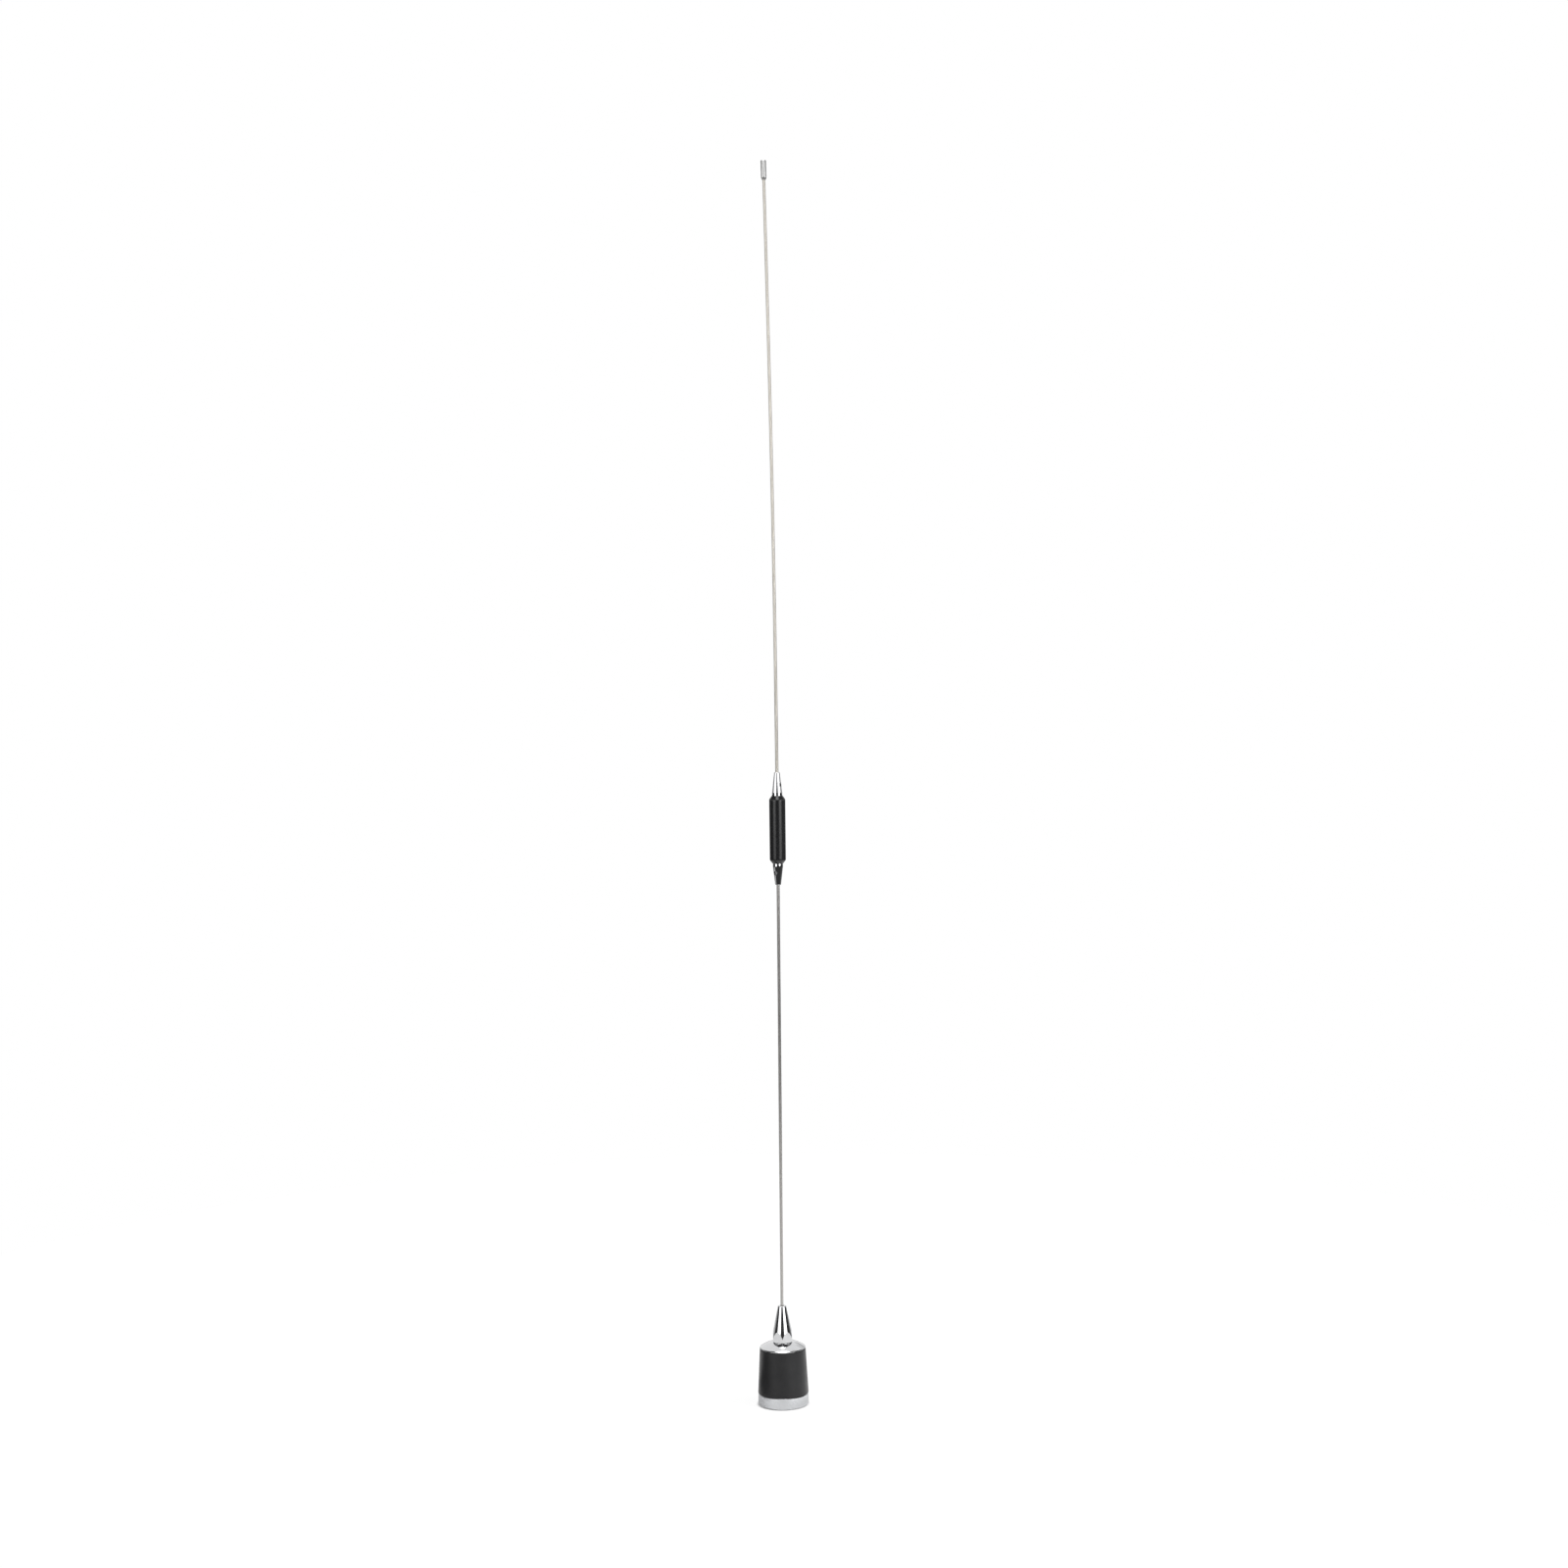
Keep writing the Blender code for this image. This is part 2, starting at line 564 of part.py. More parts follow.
def make_cap(shop):
    """Domed cap, with a recess below for the stud's flange and a groove for the seal."""
    seal_middle = HOUSING_TOP_RADIUS - SEAL_INSET
    seal_half = SEAL_WIRE_RADIUS + FIT_GAP
    seal_depth = 2 * SEAL_WIRE_RADIUS + SEAT_GAP
    recess_radius = STUD_FLANGE_RADIUS + FIT_GAP
    recess_depth = STUD_FLANGE_HEIGHT + SEAT_GAP
    round_height = CAP_HEIGHT - CAP_LAND - CAP_CROWN
    outline = [
        (STUD_BORE_RADIUS, CAP_HEIGHT),
        (HEX_CORNER_RADIUS + CAP_SEAT_MARGIN, CAP_HEIGHT),
    ]
    for i in range(CAP_ROUND_POINTS + 1):
        angle = math.pi / 2 * (1 - i / CAP_ROUND_POINTS)
        outline.append(
            (
                CAP_RADIUS - CAP_ROUND_WIDTH * (1 - math.cos(angle)),
                CAP_LAND + round_height * math.sin(angle),
            )
        )
    outline += [
        (CAP_RADIUS, 0),
        (seal_middle + seal_half, 0),
        (seal_middle + seal_half, seal_depth),
        (seal_middle - seal_half, seal_depth),
        (seal_middle - seal_half, 0),
        (recess_radius, 0),
        (recess_radius, recess_depth),
        (STUD_BORE_RADIUS, recess_depth),
    ]
    shop.turned("top_cap", outline, shop.chrome, (0, 0, CAP_BOTTOM), steps=COARSE_STEPS)

    section = reversed(circle(SEAL_WIRE_RADIUS, SEAL_SECTION_POINTS))
    outline = [(seal_middle + x, SEAL_WIRE_RADIUS + y) for x, y in section]
    shop.turned("cap_seal", outline, shop.rubber, (0, 0, CAP_BOTTOM), steps=MEDIUM_STEPS)


def make_stud(shop):
    """Whip stud with its flange, the solder tag round it and the nut below."""
    outline = [
        (0, FERRULE_BOTTOM + STUD_REACH),
        (STUD_RADIUS - STUD_CHAMFER, FERRULE_BOTTOM + STUD_REACH),
        (STUD_RADIUS, FERRULE_BOTTOM + STUD_REACH - STUD_CHAMFER),
        (STUD_RADIUS, CAP_BOTTOM + STUD_FLANGE_HEIGHT),
        (STUD_FLANGE_RADIUS, CAP_BOTTOM + STUD_FLANGE_HEIGHT),
        (STUD_FLANGE_RADIUS, CAP_BOTTOM),
        (STUD_RADIUS, CAP_BOTTOM),
        (STUD_RADIUS, STUD_BOTTOM + STUD_CHAMFER),
        (STUD_RADIUS - STUD_CHAMFER, STUD_BOTTOM),
        (0, STUD_BOTTOM),
    ]
    shop.turned("whip_stud", outline, shop.brass, hollow=False)

    hole = circle(STUD_BORE_RADIUS, FINE_STEPS)
    tag_radius = STUD_BORE_RADIUS + TAG_WIDTH
    half_angle = math.asin(TAG_TAB_WIDTH / 2 / tag_radius)
    rim = circle(tag_radius, FINE_STEPS, half_angle, math.tau - 2 * half_angle)
    tab_end = COIL_RADIUS + TAG_TAB_MARGIN
    tab = [(tab_end, -TAG_TAB_WIDTH / 2), (tab_end, TAG_TAB_WIDTH / 2)]
    tag = shop.plate("solder_tag", [rim + tab, hole], TAG_THICKNESS, shop.brass, TAG_BOTTOM)
    tag.rotation_euler = (0, 0, TAG_ANGLE)

    hexagon = circle(NUT_CORNER_RADIUS, 6)
    shop.plate("stud_nut", [hexagon, hole], NUT_HEIGHT, shop.brass, NUT_BOTTOM)


def make_loading_coil(shop):
    """Former, its winding and the lead that feeds the winding's tap."""
    height = FORMER_TOP - FORMER_BOTTOM
    flange = FORMER_RADIUS + FORMER_FLANGE_WIDTH
    outline = [
        (FORMER_BORE_RADIUS, height),
        (flange, height),
        (flange, height - FORMER_FLANGE_HEIGHT),
        (FORMER_RADIUS, height - FORMER_FLANGE_HEIGHT),
        (FORMER_RADIUS, FORMER_FLANGE_HEIGHT),
        (flange, FORMER_FLANGE_HEIGHT),
        (flange, 0),
        (FORMER_BORE_RADIUS, 0),
    ]
    former = shop.turned(
        "coil_former", outline, shop.black_plastic, (0, 0, FORMER_BOTTOM), steps=COARSE_STEPS
    )

    turn_height = (COIL_TOP - COIL_BOTTOM) / COIL_TURNS
    tap_height = COIL_BOTTOM + turn_height * TAP_TURNS
    half_notch = TAG_TAB_WIDTH / 2 + FIT_GAP
    notch = shop.box_cutter(
        "former_notch",
        (-half_notch, 0, height - FORMER_NOTCH_DEPTH),
        (half_notch, 2 * flange, 2 * height),
        former,
    )
    boolean(former, notch)
    half_window = FEED_WIRE_RADIUS + FORMER_WINDOW_MARGIN
    window_middle = tap_height - FORMER_BOTTOM
    window = shop.box_cutter(
        "former_window",
        (-half_window, -2 * flange, window_middle - half_window),
        (half_window, 0, window_middle + half_window),
        former,
    )
    boolean(former, window)

    rim_radius = SPIGOT_RADIUS - FIT_GAP - COIL_WIRE_RADIUS
    winding = []
    for i in range(COIL_LEAD_POINTS):
        share = i / COIL_LEAD_POINTS
        ease = share * share * (3 - 2 * share)
        radius = rim_radius + (COIL_RADIUS - rim_radius) * ease
        angle = TAG_ANGLE - COIL_LEAD_ANGLE * (1 - share)
        winding.append((radius * math.cos(angle), radius * math.sin(angle), COIL_BOTTOM))
    winding += helix(COIL_RADIUS, COIL_BOTTOM, COIL_TOP, COIL_TURNS, COIL_TURN_POINTS, TAG_ANGLE)
    end_x = COIL_RADIUS * math.cos(TAG_ANGLE)
    end_y = COIL_RADIUS * math.sin(TAG_ANGLE)
    winding.append((end_x, end_y, TAG_BOTTOM - SEAT_GAP))
    shop.wire("loading_coil", winding, COIL_WIRE_RADIUS, shop.copper)

    lead_radius = SLEEVE_RADIUS + FIT_GAP + FEED_WIRE_RADIUS
    bend_middle = (lead_radius + FEED_BEND_RADIUS, tap_height - FEED_BEND_RADIUS)
    lead = [(0, -lead_radius, SLEEVE_FLANGE_TOP + SEAT_GAP)]
    for i in range(FEED_BEND_POINTS + 1):
        angle = math.pi - math.pi / 2 * i / FEED_BEND_POINTS
        reach = bend_middle[0] + FEED_BEND_RADIUS * math.cos(angle)
        lead.append((0, -reach, bend_middle[1] + FEED_BEND_RADIUS * math.sin(angle)))
    lead.append((0, -(COIL_RADIUS - COIL_WIRE_RADIUS - SEAT_GAP), tap_height))
    shop.wire("feed_lead", lead, FEED_WIRE_RADIUS, shop.copper)


def make_set_screw(shop, name, ferrule, height, angle, inner, outer):
    """Drills a ferrule from its side and puts a set screw in the hole."""
    length = outer - inner
    turn = (0, math.pi / 2, angle)
    across = (math.cos(angle), math.sin(angle))
    drill = shop.cutter(
        name + "_hole", SET_SCREW_STEPS, SET_SCREW_HOLE_RADIUS, 2 * outer, ferrule, (0, 0, height), turn
    )
    boolean(ferrule, drill)
    outline = [
        (0, length),
        (SET_SCREW_RADIUS, length),
        (SET_SCREW_RADIUS, 0),
        (0, 0),
    ]
    screw = shop.turned(
        name,
        outline,
        shop.screw_steel,
        (inner * across[0], inner * across[1], height),
        ferrule,
        SET_SCREW_STEPS,
        hollow=False,
    )
    screw.rotation_euler = turn
    socket_bottom = length * (1 - SET_SCREW_SOCKET_SHARE)
    socket = shop.cutter(
        name + "_socket", 6, SET_SCREW_SOCKET_RADIUS, length, screw, (0, 0, socket_bottom)
    )
    boolean(screw, socket)


def make_whip_ferrule(shop):
    """Hexagon bar turned to a cone, which leaves an arch at the top of each flat."""
    slope = (HEX_ACROSS_FLATS / 2 - FERRULE_TOP_RADIUS) / (FERRULE_HEIGHT - HEX_FLAT_HEIGHT)
    cone_foot = FERRULE_HEIGHT - (HEX_CORNER_RADIUS - FERRULE_TOP_RADIUS) / slope
    whip_bore = LOWER_WHIP_RADIUS + FIT_GAP
    stud_bore_depth = STUD_REACH + STUD_END_CLEARANCE
    whip_seat = stud_bore_depth + (STUD_BORE_RADIUS - whip_bore) * DRILL_SLOPE
    outline = [
        (whip_bore, FERRULE_HEIGHT),
        (FERRULE_TOP_RADIUS - FERRULE_CHAMFER, FERRULE_HEIGHT),
        (FERRULE_TOP_RADIUS, FERRULE_HEIGHT - FERRULE_CHAMFER),
        (HEX_CORNER_RADIUS, cone_foot),
        (HEX_CORNER_RADIUS, HEX_CHAMFER),
        (HEX_CORNER_RADIUS - HEX_CHAMFER, 0),
        (STUD_BORE_RADIUS, 0),
        (STUD_BORE_RADIUS, stud_bore_depth),
        (whip_bore, whip_seat),
    ]
    ferrule = shop.turned(
        "whip_ferrule", outline, shop.chrome, (0, 0, FERRULE_BOTTOM), steps=COARSE_STEPS
    )
    bar = shop.cutter(
        "hexagon_bar", 6, HEX_CORNER_RADIUS, 3 * FERRULE_HEIGHT, ferrule, (0, 0, -FERRULE_HEIGHT)
    )
    boolean(ferrule, bar, "INTERSECT")
    surface = FERRULE_TOP_RADIUS + slope * (FERRULE_HEIGHT - BASE_SCREW_HEIGHT)
    make_set_screw(
        shop,
        "base_set_screw",
        ferrule,
        BASE_SCREW_HEIGHT,
        BASE_SCREW_ANGLE,
        LOWER_WHIP_RADIUS + SEAT_GAP,
        surface - SET_SCREW_RECESS,
    )
    return FERRULE_BOTTOM + whip_seat


def make_phasing_ferrule(shop, end, frame):
    """A ferrule of the phasing coil, from inside the sleeve out to its whip."""
    length = PHASING_FERRULE_HIDDEN + end.exposed
    collar = PHASING_FERRULE_HIDDEN + PHASING_COLLAR_HEIGHT
    core_bore = PHASING_CORE_RADIUS + FIT_GAP
    whip_bore = end.whip_radius + FIT_GAP
    outline = [
        (whip_bore, length),
        (end.end_radius - FERRULE_CHAMFER, length),
        (end.end_radius, length - FERRULE_CHAMFER),
        (PHASING_FERRULE_RADIUS, collar),
        (PHASING_FERRULE_RADIUS, 0),
        (core_bore, 0),
        (core_bore, PHASING_CORE_DEPTH),
        (whip_bore, PHASING_CORE_DEPTH + PHASING_WEB),
    ]
    foot = end.side * (PHASING_SLEEVE_LENGTH / 2 - PHASING_FERRULE_HIDDEN)
    ferrule = shop.turned(end.name + "_ferrule", outline, shop.chrome, (0, 0, foot), frame, MEDIUM_STEPS)
    if end.side < 0:
        ferrule.rotation_euler = (math.pi, 0, 0)
    angle = end.side * end.screw_angle
    taper = (PHASING_FERRULE_RADIUS - end.end_radius) / (length - collar)
    screw_height = PHASING_FERRULE_HIDDEN + end.screw_height
    surface = PHASING_FERRULE_RADIUS - taper * (screw_height - collar)
    make_set_screw(
        shop,
        end.name + "_set_screw",
        ferrule,
        screw_height,
        angle,
        end.whip_radius + SEAT_GAP,
        surface - SET_SCREW_RECESS,
    )


def make_phasing_coil(shop):
    """Phasing coil: a core joins two ferrules, a winding lies on it and a sleeve covers it."""
    frame = shop.empty("phasing_frame", (bow(PHASING_CENTRE), 0, PHASING_CENTRE), bow_tilt(PHASING_CENTRE))
    for end in (LOWER_END, UPPER_END):
        make_phasing_ferrule(shop, end, frame)

    half = PHASING_SLEEVE_LENGTH / 2
    lip = PHASING_BORE_RADIUS + PHASING_LIP
    outline = [
        (PHASING_BORE_RADIUS, half),
        (lip, half),
        (PHASING_SLEEVE_RADIUS, half - PHASING_CHAMFER_HEIGHT),
        (PHASING_SLEEVE_RADIUS, PHASING_CHAMFER_HEIGHT - half),
        (lip, -half),
        (PHASING_BORE_RADIUS, -half),
    ]
    shop.turned("phasing_sleeve", outline, shop.black_plastic, (0, 0, 0), frame, COARSE_STEPS)

    core_end = half - PHASING_FERRULE_HIDDEN + PHASING_CORE_DEPTH - SEAT_GAP
    outline = [
        (0, core_end),
        (PHASING_CORE_RADIUS, core_end),
        (PHASING_CORE_RADIUS, -core_end),
        (0, -core_end),
    ]
    shop.turned("phasing_core", outline, shop.pale_insulator, (0, 0, 0), frame, hollow=False)

    coil_end = half - PHASING_FERRULE_HIDDEN - SEAT_GAP - PHASING_WIRE_RADIUS
    points = helix(PHASING_COIL_RADIUS, -coil_end, coil_end, PHASING_TURNS, PHASING_TURN_POINTS, 0.0)
    shop.wire("phasing_coil", points, PHASING_WIRE_RADIUS, shop.copper, frame)


def make_whips(shop, seat):
    """Lower whip from its seat in the ferrule, upper whip, and the tip sleeve."""
    past_sleeve_end = PHASING_FERRULE_HIDDEN - PHASING_CORE_DEPTH - PHASING_WEB - SEAT_GAP
    lower_end = PHASING_BOTTOM + LOWER_END.exposed + past_sleeve_end
    points = whip_points(seat + SEAT_GAP, lower_end)
    shop.wire("lower_whip", points, LOWER_WHIP_RADIUS, shop.stainless, level=3)

    tip_bore_depth = TIP_LENGTH - TIP_CROWN
    upper_start = PHASING_TOP - UPPER_END.exposed - past_sleeve_end
    upper_end = TIP_BOTTOM + tip_bore_depth - SEAT_GAP
    points = whip_points(upper_start, upper_end)
    share = UPPER_WHIP_TOP_RADIUS / UPPER_WHIP_RADIUS
    shop.wire("upper_whip", points, UPPER_WHIP_RADIUS, shop.stainless, level=3, end_share=share)

    frame = shop.empty("tip_frame", (bow(TIP_BOTTOM), 0, TIP_BOTTOM), bow_tilt(TIP_BOTTOM))
    bore = UPPER_WHIP_TOP_RADIUS + FIT_GAP
    outline = [
        (0, TIP_LENGTH),
        (TIP_RADIUS - TIP_EDGE, TIP_LENGTH),
        (TIP_RADIUS, TIP_LENGTH - TIP_EDGE),
        (TIP_RADIUS, TIP_TAPER_HEIGHT),
        (bore + TIP_TAPER_END, 0),
        (bore, 0),
        (bore, tip_bore_depth),
        (0, tip_bore_depth),
    ]
    shop.turned("whip_tip", outline, shop.stainless, (0, 0, 0), frame, hollow=False)


def main():
    """Builds the antenna from the ground up."""
    clear_scene()
    shop = Workshop()
    make_ring(shop)
    make_contact(shop)
    make_housing(shop)
    make_cap(shop)
    make_stud(shop)
    make_loading_coil(shop)
    whip_seat = make_whip_ferrule(shop)
    make_phasing_coil(shop)
    make_whips(shop, whip_seat)


if __name__ == "__main__":
    main()
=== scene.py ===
import logging
import math
from contextlib import contextmanager
from dataclasses import dataclass
from enum import Enum
from typing import Callable, Iterator, Optional

import bmesh
import bpy
from mathutils import Matrix, Vector


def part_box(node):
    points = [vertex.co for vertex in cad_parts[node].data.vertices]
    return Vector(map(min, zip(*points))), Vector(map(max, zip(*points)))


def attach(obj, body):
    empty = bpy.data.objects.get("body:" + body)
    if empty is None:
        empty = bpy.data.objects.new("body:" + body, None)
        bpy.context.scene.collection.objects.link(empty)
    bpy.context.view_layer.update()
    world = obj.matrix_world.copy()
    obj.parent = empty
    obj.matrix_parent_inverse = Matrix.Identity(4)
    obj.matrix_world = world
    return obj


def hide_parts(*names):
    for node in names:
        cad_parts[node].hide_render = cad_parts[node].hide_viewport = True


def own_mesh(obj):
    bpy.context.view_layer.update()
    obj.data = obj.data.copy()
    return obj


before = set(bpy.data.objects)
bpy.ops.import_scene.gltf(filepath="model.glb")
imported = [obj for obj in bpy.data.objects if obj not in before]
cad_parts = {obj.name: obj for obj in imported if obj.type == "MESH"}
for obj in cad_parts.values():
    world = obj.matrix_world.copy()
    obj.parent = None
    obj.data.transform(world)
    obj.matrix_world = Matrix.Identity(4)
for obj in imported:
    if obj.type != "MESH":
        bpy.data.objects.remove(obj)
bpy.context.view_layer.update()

MM = 0.001
MERGE_DISTANCE = 0.0005 * MM
SAME_PLACE = 0.005 * MM
WATTS_PER_GLOW = 4.0
END_SHARE = 0.03

log = logging.getLogger("antenna")

Outline = list[tuple[float, float, float]]
Colour = tuple[float, float, float]


class Body(Enum):
    """The bodies that a piece can ride on."""

    ANTENNA = "antenna"
    CONTACT = "centre_contact"


class Slot(Enum):
    """The record's material slots."""

    RING = "bright_ring"
    CHROME = "chrome"
    STAINLESS = "stainless"
    SCREW = "screw_steel"
    BRASS = "brass"
    COPPER = "copper"
    PLASTIC = "black_plastic"
    INSULATOR = "pale_insulator"
    RUBBER = "rubber"


# Modelling


def pick(piece: bpy.types.Object) -> None:
    """Makes one object the only one selected, and active.

    Args:
        piece: The object to select.
    """
    if bpy.context.mode != "OBJECT":
        bpy.ops.object.mode_set(mode="OBJECT")
    bpy.ops.object.select_all(action="DESELECT")
    piece.hide_set(False)
    bpy.context.view_layer.objects.active = piece
    piece.select_set(True)


@contextmanager
def editing(piece: bpy.types.Object) -> Iterator[None]:
    """Opens a piece in edit mode and closes it again.

    Args:
        piece: The mesh object to edit.
    """
    pick(piece)
    bpy.ops.object.mode_set(mode="EDIT")
    bpy.ops.mesh.select_mode(type="VERT")
    yield
    bpy.ops.object.mode_set(mode="OBJECT")


def select_vertices(piece: bpy.types.Object, test: Callable[[Vector], bool]) -> int:
    """Selects the vertices that pass a test, in edit mode.

    Args:
        piece: The mesh object in edit mode.
        test: Says whether a place in the world is wanted.

    Returns:
        How many vertices were selected.
    """
    bpy.ops.mesh.select_all(action="DESELECT")
    form = bmesh.from_edit_mesh(piece.data)
    world = piece.matrix_world
    chosen = [vertex for vertex in form.verts if test(world @ vertex.co)]
    for vertex in chosen:
        vertex.select = True
    form.select_flush_mode()
    bmesh.update_edit_mesh(piece.data)
    return len(chosen)


def select_edges(piece: bpy.types.Object, test: Callable[[Vector, Vector], bool]) -> int:
    """Selects the edges that pass a test, in edit mode.

    Args:
        piece: The mesh object in edit mode.
        test: Says whether the edge between two places in the world is wanted.

    Returns:
        How many edges were selected.
    """
    bpy.ops.mesh.select_mode(type="EDGE")
    bpy.ops.mesh.select_all(action="DESELECT")
    form = bmesh.from_edit_mesh(piece.data)
    world = piece.matrix_world
    chosen = [edge for edge in form.edges if test(world @ edge.verts[0].co, world @ edge.verts[1].co)]
    for edge in chosen:
        edge.select_set(True)
    bmesh.update_edit_mesh(piece.data)
    return len(chosen)


def radius_of(place: Vector) -> float:
    """How far a place lies from the Z axis."""
    return math.hypot(place.x, place.y)


def arc(centre: tuple[float, float], half_axes: tuple[float, float], start: float, end: float, count: int) -> Outline:
    """Points on part of an ellipse, for use in an outline.

    Args:
        centre: Radius and height of the ellipse's middle.
        half_axes: Its half width and half height.
        start: Angle of the first point, from the outward direction, in degrees.
        end: Angle of the last point.
        count: How many steps lie between them.

    Returns:
        The points, none of them rounded.
    """
    points = []
    for i in range(count + 1):
        angle = math.radians(start + (end - start) * i / count)
        points.append(
            (centre[0] + half_axes[0] * math.cos(angle), centre[1] + half_axes[1] * math.sin(angle), 0.0)
        )
    return points


def line(start: tuple[float, float], end: tuple[float, float], count: int) -> Outline:
    """Evenly spaced points between two places, both left out, and one more close to each.

    Args:
        start: Radius and height where the line starts.
        end: Radius and height where it ends.
        count: How many parts the line is divided into.

    Returns:
        The points between the parts.
    """
    shares = [END_SHARE, *(i / count for i in range(1, count)), 1 - END_SHARE]
    return [
        (start[0] + (end[0] - start[0]) * share, start[1] + (end[1] - start[1]) * share, 0.0)
        for share in shares
    ]


def turned(name: str, outline: Outline, steps: int, closed: bool = True, soft_steps: int = 4) -> bpy.types.Object:
    """Draws an outline by extruding a vertex, rounds its corners and spins it about Z.

    Args:
        name: The new object's name.
        outline: Places (radius, height, rounding) along the section.
        steps: How many facets go round.
        closed: Whether the outline returns to its first place, or else starts and ends on the axis.
        soft_steps: How many facets a rounded corner has.

    Returns:
        The new object, in the world's frame.
    """
    bpy.ops.object.select_all(action="DESELECT")
    bpy.ops.mesh.primitive_plane_add(size=MM, location=(outline[0][0], 0, outline[0][1]))
    piece = bpy.context.object
    piece.name = name
    piece.data.name = name
    with editing(piece):
        bpy.ops.mesh.select_all(action="SELECT")
        bpy.ops.mesh.merge(type="CENTER")
        here = outline[0]
        for spot in outline[1:] + (outline[:1] if closed else []):
            step = (spot[0] - here[0], 0, spot[1] - here[1])
            bpy.ops.mesh.extrude_vertices_move(TRANSFORM_OT_translate={"value": step})
            here = spot
        bpy.ops.mesh.select_all(action="SELECT")
        bpy.ops.mesh.remove_doubles(threshold=MERGE_DISTANCE)
        for radius, height, rounding in outline:
            if rounding:
                corner = Vector((radius, 0, height))
                select_vertices(piece, lambda place: (place - corner).length < SAME_PLACE)
                bpy.ops.mesh.bevel(offset=rounding, segments=soft_steps, affect="VERTICES")
        bpy.ops.mesh.select_all(action="SELECT")
        bpy.ops.mesh.spin(steps=steps, angle=math.tau, center=(0, 0, 0), axis=(0, 0, 1))
        bpy.ops.mesh.select_all(action="SELECT")
        bpy.ops.mesh.remove_doubles(threshold=MERGE_DISTANCE)
        bpy.ops.mesh.normals_make_consistent(inside=False)
    return piece


def soften(piece: bpy.types.Object, width: float, test: Callable[[Vector, Vector], bool], steps: int = 3) -> None:
    """Rounds the edges that pass a test.

    Args:
        piece: The mesh object.
        width: How far the rounding reaches from the edge.
        test: Says whether the edge between two places is wanted.
        steps: How many facets the rounding has.
    """
    with editing(piece):
        if select_edges(piece, test):
            bpy.ops.mesh.bevel(offset=width, segments=steps, affect="EDGES")


def cut(piece: bpy.types.Object, tool: bpy.types.Object) -> None:
    """Cuts a piece with a closed tool, which is then removed.

    Args:
        piece: The piece to cut.
        tool: What to take away from it.
    """
    step = piece.modifiers.new("Cut", "BOOLEAN")
    step.operation = "DIFFERENCE"
    step.solver = "EXACT"
    step.object = tool
    pick(piece)
    bpy.ops.object.modifier_apply(modifier=step.name)
    bpy.data.objects.remove(tool, do_unlink=True)


def settle(piece: bpy.types.Object, place: Optional[Matrix] = None, sharp: float = 30.0) -> bpy.types.Object:
    """Moves a piece to its place, puts that place in its mesh, and shades it.

    Args:
        piece: The finished mesh object.
        place: Where its own frame goes in the world, if it isn't there already.
        sharp: The angle in degrees past which an edge stays sharp.

    Returns:
        The same object.
    """
    pick(piece)
    if place is not None:
        piece.matrix_world = place @ piece.matrix_world
    bpy.ops.object.transform_apply(location=True, rotation=True, scale=True)
    bpy.ops.object.shade_smooth_by_angle(angle=math.radians(sharp))
    return piece


def fit(piece: bpy.types.Object, material: bpy.types.Material, body: Body, slot: Slot, *nodes: str) -> None:
    """Gives a finished piece its material and body, and hides the nodes of the fixed frame that it stands for.

    Args:
        piece: The finished piece.
        material: Its material.
        body: The body that it rides on.
        slot: The record's slot for its finish; not used.
        *nodes: The nodes of the fixed frame that it stands for.
    """
    piece.data.materials.clear()
    piece.data.materials.append(material)
    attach(piece, body.value)
    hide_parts(*nodes)
    log.info("%s rides on %s, %d faces", piece.name, body.value, len(piece.data.polygons))


def dress_node(node: str, material: bpy.types.Material) -> None:
    """Gives a node of the fixed frame its material.

    Args:
        node: The node's name.
        material: Its material.
    """
    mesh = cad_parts[node].data
    mesh.materials.clear()
    mesh.materials.append(material)
    log.info("%s keeps its own shape", node)


# Effects that more than one material uses


class Tree:
    """Adds and joins the nodes of a material, a world or a node group."""

    def __init__(self, tree: bpy.types.NodeTree) -> None:
        """Keeps the tree that nodes go in."""
        self.tree = tree

    def add(self, kind: str, inputs: Optional[dict] = None, **settings) -> bpy.types.Node:
        """Adds a node.

        Args:
            kind: The node's type, without its "ShaderNode" prefix.
            inputs: Values or sockets for its inputs, by name or number.
            **settings: Values for its own properties.

        Returns:
            The new node.
        """
        node = self.tree.nodes.new("ShaderNode" + kind)
        for name, value in settings.items():
            setattr(node, name, value)
        for name, value in (inputs or {}).items():
            if isinstance(value, bpy.types.NodeSocket):
                self.tree.links.new(value, node.inputs[name])
            else:
                node.inputs[name].default_value = value
        return node

    def math(self, operation: str, *values) -> bpy.types.NodeSocket:
        """Adds a sum and gives its result.

        Args:
            operation: The Math node's operation.
            *values: Numbers or sockets.

        Returns:
            The node's output.
        """
        return self.add("Math", dict(enumerate(values)), operation=operation).outputs[0]

    def spread(self, value: bpy.types.NodeSocket, low: float, high: float, start: float, end: float):
        """Maps one range of values evenly to another.

        Args:
            value: The socket to map.
            low: The least value that counts.
            high: The greatest value that counts.
            start: What low becomes.
            end: What high becomes.

        Returns:
            The mapped output.
        """
        names = {"Value": value, "From Min": low, "From Max": high, "To Min": start, "To Max": end}
        return self.add("MapRange", names).outputs["Result"]

    def noise(self, place: bpy.types.NodeSocket, scale, detail: float = 3.0, rough: float = 0.5):
        """Adds a noise and gives its value.

        Args:
            place: Where it is read.
            scale: How fine it is.
            detail: How many finer layers it has.
            rough: How strong those layers are.

        Returns:
            The noise's output.
        """
        names = {"Vector": place, "Scale": scale, "Detail": detail, "Roughness": rough}
        return self.add("TexNoise", names).outputs["Fac"]


